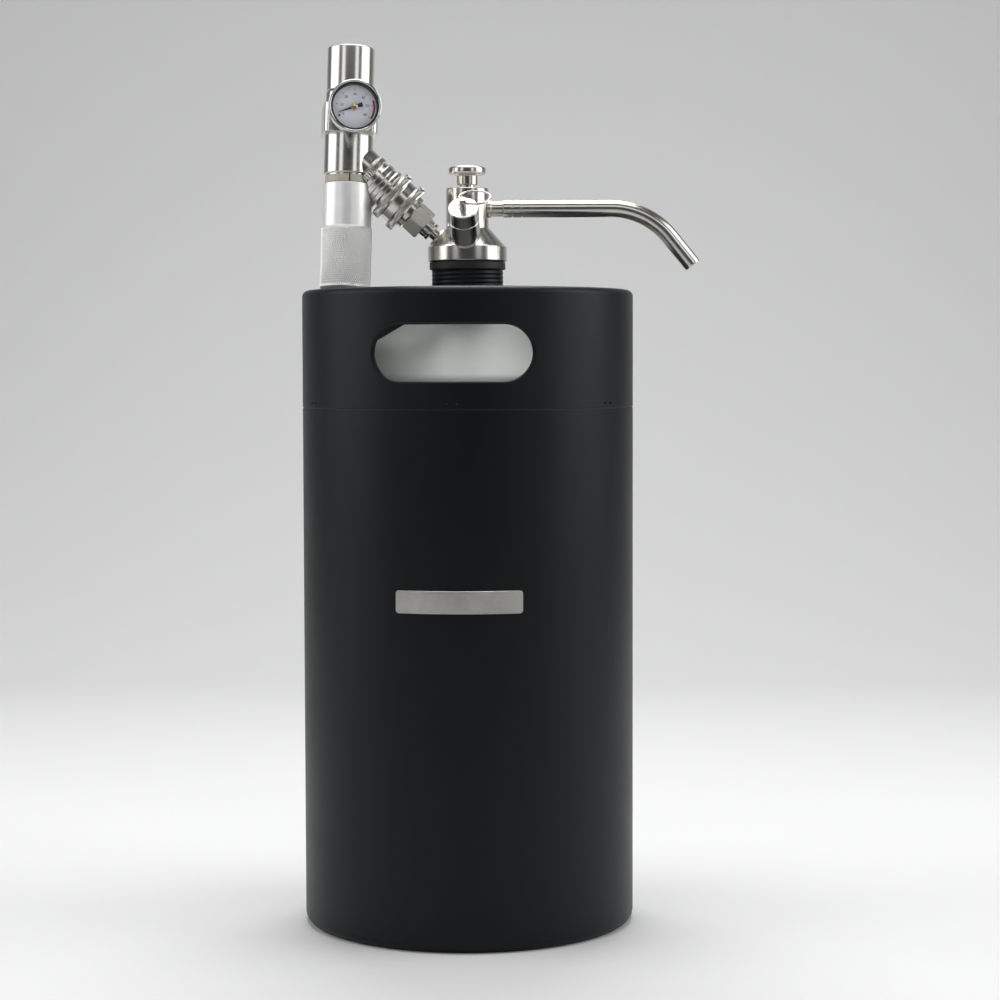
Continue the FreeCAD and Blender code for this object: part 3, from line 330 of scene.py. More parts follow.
def turned(name, outline, place, body, finish, replaces=(), segments=96, closed=None):
    """A turned piece. An outline that doesn't start on the axis is a closed loop."""
    if closed is None:
        closed = outline[0][0] > 0
    work = Turning(segments)
    rings = []
    for item in soften(outline, closed):
        if item[0] == "knurl":
            to_height, rows, depth = item[1:]
            radius, height = work.last
            rings.append(work.knurl(rings[-1], radius, height, to_height, rows, depth))
            continue
        shape = item[2] if len(item) > 2 else None
        made = work.ring(item[0], item[1], shape)
        if rings:
            work.bridge(rings[-1], made)
        rings.append(made)
    if closed:
        work.bridge(rings[-1], rings[0])
    return finish_mesh(name, work.vertices, work.faces, place, body, finish, replaces, work.wraps)


def tube(name, path, radius, place, body, finish, replaces=(), bore=None, sides=24, tip=None):
    """A round tube along points in the local frame, solid or with a bore."""
    path = [Vector(point) for point in path]
    count = len(path)
    normal = None
    rings_out = []
    rings_in = []
    vertices = []
    faces = []
    for index, point in enumerate(path):
        ahead = path[min(index + 1, count - 1)] - path[max(index - 1, 0)]
        ahead.normalize()
        if normal is None:
            normal = ahead.orthogonal().normalized()
        normal = (normal - ahead * normal.dot(ahead)).normalized()
        side = ahead.cross(normal)
        widths = [(rings_out, radius if tip is None else tip(index, count, radius))]
        if bore:
            widths.append((rings_in, bore))
        for rings, width in widths:
            rings.append(range(len(vertices), len(vertices) + sides))
            for step in range(sides):
                angle = TAU * step / sides
                spot = point + (normal * math.cos(angle) + side * math.sin(angle)) * width
                vertices.append(tuple(spot))
    for rings in (rings_out, rings_in):
        for low, high in zip(rings, rings[1:]):
            faces += band(low, high)
    for end in (0, -1):
        faces += band(rings_out[end], rings_in[end]) if bore else [tuple(rings_out[end])]
    return finish_mesh(name, vertices, faces, place, body, finish, replaces)


def moved(place, x=0.0, y=0.0, z=0.0):
    return place @ Matrix.Translation((x, y, z))


# ---- Materials ---------------------------------------------------------------------------


class Shader:
    """A Principled material with a few ways of adding detail."""

    def __init__(self, name, color, roughness, metallic=0.0):
        self.material = bpy.data.materials.new(name)
        self.material.use_nodes = True
        self.nodes = self.material.node_tree.nodes
        self.links = self.material.node_tree.links
        self.base = self.nodes["Principled BSDF"]
        self.base.inputs["Base Color"].default_value = (*color, 1)
        self.base.inputs["Roughness"].default_value = roughness
        self.base.inputs["Metallic"].default_value = metallic
        self.normal = None

    def node(self, kind, **settings):
        made = self.nodes.new(kind)
        for key, value in settings.items():
            setattr(made, key, value)
        return made

    def scaled(self, source, scale):
        mapping = self.node("ShaderNodeMapping")
        mapping.inputs["Scale"].default_value = scale
        self.links.new(source, mapping.inputs["Vector"])
        return mapping.outputs["Vector"]

    def coordinates(self, scale=(1, 1, 1)):
        return self.scaled(self.node("ShaderNodeTexCoord").outputs["Object"], scale)

    def turned_lines(self, along, across):
        """Coordinates that follow the lathe: round the piece, then along its outline."""
        lathe = self.node("ShaderNodeUVMap", uv_map="turned")
        return self.scaled(lathe.outputs["UV"], (along, across, 1))

    def noise(self, vector, scale, detail=4.0, rough=0.55):
        made = self.node("ShaderNodeTexNoise")
        made.inputs["Scale"].default_value = scale
        made.inputs["Detail"].default_value = detail
        made.inputs["Roughness"].default_value = rough
        self.links.new(vector, made.inputs["Vector"])
        return made.outputs["Fac"]

    def spread(self, value, low, high, start=0.3, end=0.7):
        """A value from low to high as another goes from start to end."""
        made = self.node("ShaderNodeMapRange")
        made.inputs["From Min"].default_value = start
        made.inputs["From Max"].default_value = end
        made.inputs["To Min"].default_value = low
        made.inputs["To Max"].default_value = high
        self.links.new(value, made.inputs["Value"])
        return made.outputs["Result"]

    def add(self, first, second):
        made = self.node("ShaderNodeMath", operation="ADD")
        self.links.new(first, made.inputs[0])
        self.links.new(second, made.inputs[1])
        return made.outputs["Value"]

    def roughness(self, value, low, high, more=None, reach=0.0):
        """From low to high as a value changes, and up to reach more by another."""
        result = self.spread(value, low, high)
        if more is not None:
            result = self.add(result, self.spread(more, 0.0, reach))
        self.links.new(result, self.base.inputs["Roughness"])

    def tint(self, value, dark, light):
        ramp = self.node("ShaderNodeValToRGB")
        for stop, color, position in zip(ramp.color_ramp.elements, (dark, light), (0.3, 0.7)):
            stop.color = (*color, 1)
            stop.position = position
        self.links.new(value, ramp.inputs["Fac"])
        self.links.new(ramp.outputs["Color"], self.base.inputs["Base Color"])

    def bump(self, value, strength, distance):
        made = self.node("ShaderNodeBump")
        made.inputs["Strength"].default_value = strength
        made.inputs["Distance"].default_value = distance
        self.links.new(value, made.inputs["Height"])
        if self.normal is not None:
            self.links.new(self.normal, made.inputs["Normal"])
        self.normal = made.outputs["Normal"]
        self.links.new(self.normal, self.base.inputs["Normal"])


def powder_coat():
    shader = Shader("powder_coat", (0.0005, 0.0010, 0.0015), 0.42)
    shader.base.inputs["Specular IOR Level"].default_value = 0.27
    shader.base.inputs["Specular Tint"].default_value = (0.86, 0.96, 1.0, 1.0)
    spots = shader.coordinates()
    peel = shader.noise(spots, 620, 3)
    grain = shader.noise(spots, 3800, 2)
    cloud = shader.noise(spots, 22, 4)
    shader.tint(cloud, (0.0003, 0.0007, 0.0011), (0.0007, 0.0013, 0.0019))
    shader.roughness(cloud, 0.36, 0.42, grain, 0.08)
    shader.bump(peel, 0.10, 0.00012)
    shader.bump(grain, 0.10, 0.00003)
    return shader.material


def turned_metal(name, color, low, high, lines, line_strength, tint=0.94):
    """Metal from the lathe: fine lines round the piece, with slight smears and clouding."""
    shader = Shader(name, color, low, 1.0)
    spots = shader.coordinates()
    around = shader.turned_lines(2.0, lines)
    cut = shader.noise(around, 1.0, 5, 0.65)
    smear = shader.noise(spots, 260, 4)
    wide = shader.noise(spots, 55, 3)
    shader.tint(wide, tuple(channel * tint for channel in color), color)
    shader.roughness(smear, low, high, cut, 0.05)
    shader.bump(cut, line_strength, 0.00002)
    return shader.material


def satin_steel():
    shader = Shader("satin_steel", (0.20, 0.207, 0.20), 0.48, 1.0)
    spots = shader.coordinates()
    around = shader.turned_lines(1.5, 3.0)
    cut = shader.noise(around, 1.0, 6, 0.7)
    blotch = shader.noise(spots, 38, 4)
    shader.tint(blotch, (0.18, 0.187, 0.18), (0.22, 0.228, 0.22))
    shader.roughness(blotch, 0.46, 0.52, cut, 0.06)
    shader.bump(cut, 0.10, 0.00004)
    return shader.material


def grip_metal():
    shader = Shader("grip_aluminium", (0.94, 0.94, 0.93), 0.42, 0.6)
    spots = shader.coordinates()
    fine = shader.noise(spots, 4200, 2)
    cloud = shader.noise(spots, 120, 4)
    shader.tint(cloud, (0.92, 0.92, 0.91), (0.97, 0.97, 0.96))
    shader.roughness(cloud, 0.32, 0.40, fine, 0.1)
    shader.bump(fine, 0.12, 0.00003)
    return shader.material


def badge_metal():
    shader = Shader("badge_steel", (0.60, 0.59, 0.56), 0.3, 1.0)
    strokes = shader.coordinates(scale=(60, 60, 9000))
    lines = shader.noise(strokes, 1.0, 4, 0.7)
    cloud = shader.noise(shader.coordinates(), 90, 3)
    shader.tint(cloud, (0.52, 0.515, 0.49), (0.64, 0.63, 0.60))
    shader.roughness(lines, 0.26, 0.42)
    shader.bump(lines, 0.25, 0.00002)
    return shader.material


def rubber():
    shader = Shader("black_rubber", (0.012, 0.012, 0.013), 0.55)
    spots = shader.coordinates()
    grain = shader.noise(spots, 2600, 3)
    dust = shader.noise(spots, 90, 5)
    shader.tint(dust, (0.010, 0.010, 0.011), (0.020, 0.020, 0.021))
    shader.roughness(dust, 0.48, 0.62)
    shader.bump(grain, 0.2, 0.00004)
    return shader.material


def beige_plastic():
    shader = Shader("beige_plastic", (0.50, 0.47, 0.38), 0.42)
    spots = shader.coordinates()
    cloud = shader.noise(spots, 160, 4)
    grain = shader.noise(spots, 3000, 2)
    shader.tint(cloud, (0.45, 0.42, 0.34), (0.55, 0.52, 0.43))
    shader.roughness(cloud, 0.36, 0.5)
    shader.bump(grain, 0.15, 0.00003)
    return shader.material


def paint(name, color, roughness):
    """Thin printed ink or a painted pointer, slightly uneven."""
    shader = Shader(name, color, roughness)
    spots = shader.coordinates()
    cloud = shader.noise(spots, 900, 3)
    shader.tint(cloud, tuple(channel * 0.85 for channel in color), color)
    shader.roughness(cloud, roughness - 0.06, roughness + 0.06)
    return shader.material


def dial_face():
    shader = Shader("dial_face", (0.88, 0.89, 0.97), 0.5)
    spots = shader.coordinates()
    fibre = shader.noise(spots, 2500, 3)
    cloud = shader.noise(spots, 140, 3)
    shader.tint(cloud, (0.84, 0.85, 0.95), (0.91, 0.92, 0.98))
    shader.roughness(fibre, 0.45, 0.58)
    shader.bump(fibre, 0.1, 0.00001)
    return shader.material


def clear_window():
    shader = Shader("clear_window", (1, 1, 1), 0.02)
    shader.base.inputs["Transmission Weight"].default_value = 1.0
    shader.base.inputs["IOR"].default_value = 1.12
    shader.base.inputs["Alpha"].default_value = 0.3
    spots = shader.coordinates()
    shader.roughness(shader.noise(spots, 300, 3), 0.0, 0.03)
    return shader.material


# Each finish is a material and the material slot that it goes by.
COAT = (powder_coat(), "painted")
POLISHED = (
    turned_metal("polished_steel", (0.63, 0.615, 0.57), 0.19, 0.21, 9.0, 0.15, 0.975),
    "polished_steel",
)
NICKEL = (
    turned_metal("bright_nickel", (0.65, 0.64, 0.60), 0.18, 0.20, 11.0, 0.10, 0.975),
    "nickel",
)
CHROME = (turned_metal("bright_chrome", (0.78, 0.79, 0.80), 0.05, 0.09, 11.0, 0.03), "nickel")
SATIN = (satin_steel(), "bare_steel")
GRIP = (grip_metal(), "grip_metal")
BADGE = (badge_metal(), "badge_steel")
RUBBER = (rubber(), "black_rubber")
BEIGE = (beige_plastic(), "beige_plastic")
DIAL = (dial_face(), "dial_white")
WINDOW = (clear_window(), "window")
INK = (paint("black_ink", (0.02, 0.02, 0.025), 0.5), "needle_black")
RED = (paint("red_ink", (0.50, 0.04, 0.15), 0.5), "dial_white")
BRASS = (turned_metal("hub_brass", (0.72, 0.58, 0.36), 0.2, 0.3, 8.0, 0.05), "nickel")
WIRE = (turned_metal("ring_wire", (0.62, 0.60, 0.57), 0.10, 0.18, 4.0, 0.05), "spring_wire")

# ---- Keg ---------------------------------------------------------------------------------

BODY_RADIUS = 87.5
WALL = 1.2
FOOT_RADIUS = 76.0
SHELL_TOP = 273.2
SEAM_HEIGHT = 273.6
RIM_HEIGHT = 335.0
RIM_INSIDE = 80.5
SHOULDER_FOOT = 261.6
COLLAR_CLOCK = math.radians(-4.65)
SLOT_MIDDLE = 301.7
SLOT_HALF_HEIGHT = 14.1
SLOT_HALF_WIDTH = 40.4


def cone_height(radius):
    """The shoulder's height at a radius."""
    return 332.99 - 0.588 * radius


def keg_shell():
    inside = BODY_RADIUS - WALL
    turned("shell_skin", [
        (FOOT_RADIUS, 0.0, 0.6), (BODY_RADIUS, 0.0, 8.0), (BODY_RADIUS, 120.0, 0),
        (BODY_RADIUS, SHELL_TOP, 0.35), (inside, SHELL_TOP, 0.2), (inside, 140.0, 0),
        (inside, WALL, 6.8), (FOOT_RADIUS, WALL, 0.5),
    ], WORLD_MM, "keg", COAT, ["outer_shell"], segments=256)
    turned("base_disc", [
        (0, 4.0, 0), (30.0, 4.0, 0), (31.0, 4.5, 1.0), (45.0, 4.5, 1.0), (46.0, 4.0, 1.0),
        (73.0, 4.0, 1.2), (74.8, 0.4, 0.6), (FOOT_RADIUS, 0.4, 0), (FOOT_RADIUS, 1.6, 0),
        (75.4, 1.6, 0.6), (73.6, 5.2, 1.2), (0, 5.2, 0),
    ], WORLD_MM, "keg", COAT, ["base_plate"], segments=192, closed=False)


def seam_shadow_ring():
    """A black ring a little way in, in the rubber finish, which paints the shadow in the gap
    between the shell and the collar.
    """
    # Painted shadow: this dark ring only darkens the seam gap, it is not a gasket.
    turned(
        "seam_shadow",
        [(86.35, 272.6, 0), (87.1, 272.6, 0), (87.1, 274.3, 0), (86.35, 274.3, 0)],
        WORLD_MM, "keg", RUBBER, segments=256,
    )


def dome():
    """The bare shoulder, with the rolled weld line where it meets the neck."""
    outside = 86.3
    inside = 85.3
    thick = 1.16
    hole = 18.95

    def under(radius):
        return cone_height(radius) - thick

    turned("shoulder_dome", [
        (outside, SHOULDER_FOOT, 0), (outside, cone_height(outside), 22.0),
        (60.0, cone_height(60.0), 0), (40.0, cone_height(40.0), 0),
        (21.6, cone_height(21.6), 0.4), (20.9, cone_height(20.9) + 0.7, 0.5),
        (19.6, cone_height(19.6) + 0.7, 0.5), (hole, cone_height(18.9) - 0.2, 0),
        (hole, under(18.9), 0), (60.0, under(60.0), 0), (inside, under(inside), 21.0),
        (inside, SHOULDER_FOOT, 0),
    ], HEAD_MM, "keg", SATIN, ["shoulder"], segments=192)


def threaded_neck():
    """The neck: its outside has the rounded ridges of a rolled screw thread."""
    low = 331.4
    high = 351.4
    pitch = 2.2
    rise = 0.22
    run_out = 1.5
    outside = 18.9
    bore = 16.5
    foot = 311.6
    top = 352.6
    past = high + 0.2
    steps = 100

    def ridge(angle, radius, height):
        if height < low or height > high:
            return radius
        phase = TAU * (height - low) / pitch - angle
        ends = min(1.0, (height - low) / run_out, (high - height) / run_out)
        return radius - rise * ends * (0.5 - 0.5 * math.cos(phase))

    outline = [(bore, foot, 0), (outside, foot, 0.3)]
    for step in range(steps):
        outline.append((outside, low + (past - low) * step / steps, 0, ridge))
    outline += [(outside, top, 0.5), (bore, top, 0.5)]
    turned("neck_tube", outline, HEAD_MM, "keg", COAT, ["neck"], segments=128)


def skirt():
    turned("skirt_ring", [
        (18.9, 342.0, 0), (20.0, 342.0, 0.35), (20.05, 343.6, 0), (20.05, 345.9, 0.4),
        (18.9, 345.9, 0),
    ], HEAD_MM, "keg", RUBBER, ["neck_skirt"], segments=160)


def collar_wall():
    """The carrying collar: a rolled rim and two slots whose edges turn smoothly inwards."""
    outer = BODY_RADIUS
    inner = outer - WALL
    segments = 288
    outline = soften(
        [
            (outer, SEAM_HEIGHT, 0.35), (outer, RIM_HEIGHT, 6.9),
            (RIM_INSIDE, RIM_HEIGHT, 0.65), (RIM_INSIDE, RIM_HEIGHT - WALL, 0.65),
            (inner, RIM_HEIGHT - WALL, 5.4), (inner, SEAM_HEIGHT, 0.35),
        ],
        True,
        8,
    )
    work = Turning(segments)
    rings = [work.ring(radius, height) for radius, height in outline]
    for low, high in zip(rings, rings[1:] + rings[:1]):
        work.bridge(low, high)
    collar = blank("collar_wall", work.vertices, work.faces)
    carve(collar, [slot_cutter()] + drain_cutters())
    collar.data.transform(Matrix.Rotation(COLLAR_CLOCK, 4, "Z"))
    collar.data.transform(WORLD_MM)
    dress(collar, "keg", COAT, ["handle_collar"])
    for side in (-1, 1):
        slot_lip(side)


def carve(piece, cutters):
    """Cuts the cutters out of a piece, and removes them."""
    for cutter in cutters:
        cutting = piece.modifiers.new("cut", "BOOLEAN")
        cutting.operation = "DIFFERENCE"
        cutting.solver = "EXACT"
        cutting.object = cutter
        seen = bpy.context.evaluated_depsgraph_get()
        seen.update()
        result = bpy.data.meshes.new_from_object(piece.evaluated_get(seen))
        piece.modifiers.clear()
        piece.data = result
    for cutter in cutters:
        bpy.data.objects.remove(cutter)


def stadium(grow, count=24, straight_steps=16):
    """Points round the slot's outline, in (across, height)."""
    half = SLOT_HALF_HEIGHT + grow
    straight = SLOT_HALF_WIDTH - SLOT_HALF_HEIGHT
    points = []
    for side in (1, -1):
        for step in range(count + 1):
            angle = math.pi * step / count - side * math.pi / 2
            across = side * straight + half * math.cos(angle)
            points.append((across, SLOT_MIDDLE + half * math.sin(angle)))
        for step in range(1, straight_steps):
            across = side * straight * (1 - 2 * step / straight_steps)
            points.append((across, SLOT_MIDDLE + side * half))
    return points


def prism(name, points, half_depth=100):
    """A closed bar with the outline on XZ, right through the keg along Y."""
    count = len(points)
    vertices = [(x, y, z) for y in (-half_depth, half_depth) for x, z in points]
    near = range(count)
    far = range(count, 2 * count)
    return blank(name, vertices, band(near, far) + [tuple(near), tuple(far)])


LIP_ROUND = 1.5


def slot_cutter():
    return prism("slot_cutter", stadium(LIP_ROUND))


def drain_cutters():
    """Three bars of pairs of small holes, each right through both sides."""
    radius = 0.6
    apart = 2.5
    level = SEAM_HEIGHT + 2.6
    steps = 16
    made = []
    for turn in range(3):
        for side in (-1, 1):
            points = []
            for step in range(steps):
                angle = TAU * step / steps
                across = side * apart + radius * math.cos(angle)
                points.append((across, level + radius * math.sin(angle)))
            cutter = prism("drain_cutter", points)
            cutter.data.transform(Matrix.Rotation(math.radians(60 * turn), 4, "Z"))
            made.append(cutter)
    return made


def lip_section():
    """The slot's rolled lip across its edge: how far outwards, and how deep from the skin."""
    section = [(LIP_ROUND + 0.1, 0.02)]
    for step in range(9):
        angle = math.pi / 2 + math.pi / 2 * step / 8
        section.append((LIP_ROUND * (1 + math.cos(angle)), LIP_ROUND * (1 - math.sin(angle))))
    half = WALL / 2
    for step in range(1, 7):
        angle = math.pi * step / 6
        section.append((half - half * math.cos(angle), LIP_ROUND + half * math.sin(angle)))
    section.append((WALL + 0.1, LIP_ROUND - 0.2))
    section.append((LIP_ROUND + 0.1, WALL - 0.02))
    return section


def slot_lip(side):
    """The lip round one slot, where the wall's edge rolls inwards."""
    points = stadium(0)
    count = len(points)
    section = lip_section()
    rounds = len(section)
    vertices = []
    faces = []
    for index, (across, height) in enumerate(points):
        before = points[index - 1]
        after = points[(index + 1) % count]
        along = Vector((after[0] - before[0], after[1] - before[1])).normalized()
        outward = Vector((along.y, -along.x))
        for grow, depth in section:
            x = across + outward.x * grow
            z = height + outward.y * grow
            radius = BODY_RADIUS - depth
            around = math.asin(x / BODY_RADIUS)
            vertices.append((radius * math.sin(around), side * radius * math.cos(around), z))
    for index in range(count):
        after = (index + 1) % count
        for step in range(rounds):
            up = (step + 1) % rounds
            near = index * rounds
            far = after * rounds
            faces.append((near + step, far + step, far + up, near + up))
    place = WORLD_MM @ Matrix.Rotation(COLLAR_CLOCK, 4, "Z")
    name = "front_slot_lip" if side < 0 else "back_slot_lip"
    finish_mesh(name, vertices, faces, place, "keg", COAT)


def blank_badge():
    """A thin blank plate bent to the shell, with rounded corners and a shallow border."""
    middle = math.radians(-92.5)
    across = math.radians(21.3) * BODY_RADIUS
    half_tall = 5.8
    level = 177.4
    corner = 1.8
    columns = 96
    rows = 18
    insets = [0, 0.12, 0.25, 0.99, 1.05, 1.28, 1.34]

    def edge(u):
        """How tall half the plate is at one place along it."""
        gap = max(abs(u) - (across - corner), 0)
        return half_tall - corner + math.sqrt(max(corner * corner - gap * gap, 0))

    def lift(u, v, tall):
        """The rounded edge, the border's groove and the flat middle."""
        inset = min(across - abs(u), tall - abs(v))
        if inset < 0.25:
            return 0.32 + 0.28 * math.sqrt(max(inset, 0) / 0.25)
        if 1.0 < inset < 1.3:
            return 0.48
        return 0.60

    vertices = []
    faces = []
    offsets = [(-1 + 2 * column / columns) * across for column in range(columns + 1)]
    corners = [corner * (1 - math.cos(step * math.pi / 18)) for step in range(1, 9)]
    for place_near in insets[1:] + corners:
        offsets += [across - place_near, place_near - across]
    loops = []
    for u in sorted(set(round(offset, 4) for offset in offsets)):
        tall = edge(u)
        levels = [-tall + inset for inset in insets]
        levels += [(-1 + 2 * row / rows) * (tall - insets[-1]) for row in range(1, rows)]
        levels += [tall - inset for inset in reversed(insets)]
        front = [(BODY_RADIUS + lift(u, v, tall), v) for v in levels]
        back = [(BODY_RADIUS - 0.05, v) for v in reversed(levels)]
        angle = middle + u / BODY_RADIUS
        loops.append(range(len(vertices), len(vertices) + 2 * len(levels)))
        for radius, v in front + back:
            vertices.append((radius * math.cos(angle), radius * math.sin(angle), level + v))
    size = len(loops[0])
    for near, far in zip(loops, loops[1:]):
        for index in range(size):
            after = (index + 1) % size
            faces.append((near[index], far[index], far[after], near[after]))
    faces += [tuple(loops[0]), tuple(loops[-1])]
    finish_mesh("blank_badge", vertices, faces, WORLD_MM, "keg", BADGE, ["badge_plate"])


# ---- Tap head ----------------------------------------------------------------------------


def tap_head():
    turned("tap_foot", [
        (4.05, 338.0, 0), (9.0, 338.0, 0.4), (9.0, 353.8, 0), (19.05, 353.8, 0),
        (19.05, 346.2, 0.3), (20.9, 346.2, 0.7), (20.9, 354.1, 0.8), (20.05, 354.55, 0.3),
        (12.2, 363.25, 1.0), (11.2, 363.9, 0), (3.2, 363.9, 0), (3.2, 361.9, 0), (6.5, 361.9, 0),
        (6.5, 342.0, 0), (4.05, 342.0, 0),
    ], HEAD_MM, "tap_head", POLISHED, ["tap_base"], segments=192)
    turned(
        "relief_boss_ring",
        [(0, 18.0, 0), (8.3, 18.0, 0), (8.6, 21.4, 0.4), (8.0, 22.25, 0.4), (0, 22.25, 0)],
        RELIEF, "tap_head", POLISHED, segments=96,
    )
    turned(
        "post_boss_ring",
        [(0, 16.0, 0), (5.6, 16.0, 0), (5.6, 21.6, 0.5), (5.0, 22.25, 0.3), (0, 22.25, 0)],
        POST, "tap_head", POLISHED, segments=72,
    )
    turned("tap_barrel", [
        (3.2, 363.9, 0), (11.2, 363.9, 0), (11.2, 374.0, 0), (11.2, 385.0, 0.75),
        (3.95, 385.0, 0.3), (3.95, 379.0, 0), (6.5, 379.0, 0), (6.5, 366.0, 0), (3.2, 366.0, 0),
    ], HEAD_MM, "tap_head", POLISHED, ["tap_body"], segments=160)
    turned("push_button", [
        (0, 386.6, 0), (5.5, 386.6, 0.4), (5.5, 391.7, 0.5), (9.4, 392.0, 0.9), (9.8, 393.2, 0.9),
        (9.8, 396.2, 1.25), (0, 396.2, 0),
    ], HEAD_MM, "button", POLISHED, ["button_cap"], segments=160)


def spout():
    turned("spout_nipple", [
        (2.65, 6.6, 0), (4.17, 6.6, 0), (4.17, 10.9, 0), (4.7, 11.0, 0.2), (4.7, 12.4, 0.3),
        (4.17, 12.7, 0.2), (4.17, 18.8, 0.3), (2.65, 18.8, 0.2),
    ], SPOUT, "tap_head", POLISHED, ["spout_socket"], segments=96)
    outline = [(1.8, 8.6, 0), (2.6, 8.6, 0.2), (2.6, 18.9, 0), (4.7, 18.9, 0.45)]
    for station in (23.9, 28.8):
        outline += [
            (4.7, station - 0.35, 0.2), (4.2, station - 0.3, 0.1),
            (4.2, station + 0.3, 0.1), (4.7, station + 0.35, 0.2),
        ]
    outline += [(4.7, 34.1, 0.25), (1.8, 34.1, 0)]
    turned("spout_root", outline, SPOUT, "spout", POLISHED, ["spout_collar"], segments=96)
    root = 34.1
    start = 75.8
    bend = 40.3
    angle = math.radians(51)
    straight_steps = 9
    bend_steps = 48
    path = []
    for step in range(straight_steps):
        path.append((root + (start - root) * step / straight_steps, 0, SPOUT_LEVEL))
    for step in range(bend_steps + 1):
        turn = angle * step / bend_steps
        drop = bend - bend * math.cos(turn)
        path.append((start + bend * math.sin(turn), 0, SPOUT_LEVEL - drop))
    end = Vector(path[-1])
    down = Vector((math.cos(angle), 0, -math.sin(angle)))
    for reach in (4, 8, 12, 16, 18.6, 19.0, 19.25, 19.4):
        path.append(tuple(end + down * reach))

    def taper(index, count, radius):
        """Rounds off the mouth."""
        return radius - {count - 1: 0.32, count - 2: 0.12, count - 3: 0.03}.get(index, 0)

    tube(
        "spout_pipe", path, 4.68, WORLD_MM, "spout", POLISHED, ["spout_tube"],
        bore=3.7, sides=72, tip=taper,
    )


# ---- Relief valve ------------------------------------------------------------------------


def relief_valve():
    turned("relief_barrel", [
        (0, 22.3, 0), (8.0, 22.3, 0.4), (8.0, 33.7, 0.35), (7.55, 34.0, 0), (5.0, 34.0, 0),
        (5.0, 25.3, 0), (0, 25.3, 0),
    ], RELIEF, "tap_head", NICKEL, ["relief_body"], segments=128)
    turned("relief_lid", [
        (7.55, 34.0, 0), (8.0, 34.3, 0.3), (8.0, 42.0, 0.7), (3.6, 42.0, 0.25), (3.2, 41.6, 0.2),
        (1.85, 41.6, 0.2), (1.85, 40.0, 0), (5.0, 40.0, 0), (5.0, 34.0, 0),
    ], RELIEF, "tap_head", NICKEL, ["relief_cap"], segments=128)


RING_RADIUS = 8.1


def pull_ring():
    """A split ring: two turns of wire side by side, with the ends half a turn apart."""
    line = -joint_axis("ring_swing")
    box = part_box("pull_ring")
    centre = (Vector(box[0]) + Vector(box[1])) / 2
    eye = joint_spot("ring_swing")
    out = (centre - eye).normalized()
    out = (out - line * out.dot(line)).normalized()
    normal = out.cross(line).normalized()
    place = millimetre_frame(eye + out * RING_RADIUS * MM, out, line, normal)
    wire = 0.29
    steps = 192
    start = math.radians(35)
    crossing = 9

    def blunt(index, count, radius):
        return radius * (0.5 if index in (0, count - 1) else 1.0)

    path = []
    for step in range(steps + 1):
        share = step / steps
        angle = start + 2 * TAU * share
        shift = wire * math.tanh((share - 0.5) * crossing)
        path.append((RING_RADIUS * math.cos(angle), RING_RADIUS * math.sin(angle), shift))
    tube(
        "pull_ring_coil", path, wire, place, "pull_ring", WIRE, ["pull_ring"],
        sides=14, tip=blunt,
    )


# ---- Gas post and quick disconnect -------------------------------------------------------


def gas_post():
    turned("post_stem", [
        (0, 22.3, 0), (2.8, 22.3, 0), (2.8, 25.2, 0.1), (5.05, 25.2, 0.35), (5.05, 26.9, 0.15),
        (4.75, 27.05, 0.1), (4.75, 27.6, 0.1), (5.05, 27.75, 0.15), (5.05, 30.2, 0), (0, 30.2, 0),
    ], POST, "tap_head", POLISHED, ["post_nipple"], segments=96)
    flats = 15.1 / 2
    corner = flats / math.cos(math.pi / 6)
    clock = math.radians(15)
    low = 30.2
    high = 39.5
    chamfer_tall = 0.7

    def hexagon(angle, radius, height):
        around = (angle - clock) % (math.pi / 3) - math.pi / 6
        side = flats / math.cos(around)
        rise = min(height - low, high - height)
        chamfer = corner
        if rise < chamfer_tall:
            chamfer = flats + (corner - flats + 0.1) * rise / chamfer_tall
        return min(side, chamfer, corner - 0.12) * radius

    rises = (0, 0.08, 0.2, 0.35, 0.55, chamfer_tall)
    levels = [low + rise for rise in rises] + [33.0, 36.7]
    levels += [high - rise for rise in reversed(rises)]
    outline = [(0, low, 0)] + [(1.0, level, 0, hexagon) for level in levels] + [(0, high, 0)]
    turned(
        "post_nut", outline, POST, "tap_head", POLISHED, ["post_hex"],
        segments=360, closed=False,
    )


def quick_disconnect():
    turned("disconnect_core", [
        (5.55, 39.8, 0.2), (9.2, 39.8, 0.4), (9.2, 39.9, 0), (9.6, 39.95, 0.05), (9.6, 57.2, 0.3),
        (7.5, 57.2, 0), (7.5, 61.2, 0.2), (2.0, 61.2, 0), (2.0, 60.0, 0), (5.55, 60.0, 0),
    ], POST, "disconnect", NICKEL, ["disconnect_body"], segments=128)
    inner = 9.68
    outer = 13.9
    turned("sleeve_grip", [
        (inner, 42.2, 0), (13.6, 42.2, 0.1), (outer, 42.45, 0), ("knurl", 46.05, 4, 0.3),
        (outer - 0.05, 46.1, 0), (13.6, 46.3, 0.1), (11.8, 46.4, 0.5), (11.8, 51.5, 0.5),
        (13.6, 51.6, 0.1), (outer - 0.05, 51.8, 0), ("knurl", 55.5, 4, 0.3),
        (outer - 0.05, 55.55, 0), (13.6, 55.8, 0.1), (inner, 55.8, 0),
    ], POST, "release_sleeve", NICKEL, ["release_sleeve"], segments=110)


# ---- Regulator ---------------------------------------------------------------------------


def bar(name, radius, low, high, place):
    """A plain round cutter between two levels of a frame."""
    work = Turning(96)
    rings = [work.ring(*spot) for spot in ((0, low), (radius, low), (radius, high), (0, high))]
    for near, far in zip(rings, rings[1:]):
        work.bridge(near, far)
    return blank(name, work.vertices, work.faces, place)


def trimmed(piece, cutters):
    """Cuts a finished piece, and puts its normals back in order."""
    material = piece.data.materials[0]
    piece.modifiers.clear()
    carve(piece, cutters)
    clean(piece.data)
    shade(piece, material)


def regulator_cutters():
    return [
        bar("holder_room", 13.2, 0, 56.4, REGULATOR),
        bar("barrel_room", 12.75, 45.5, 110, REGULATOR),
    ]


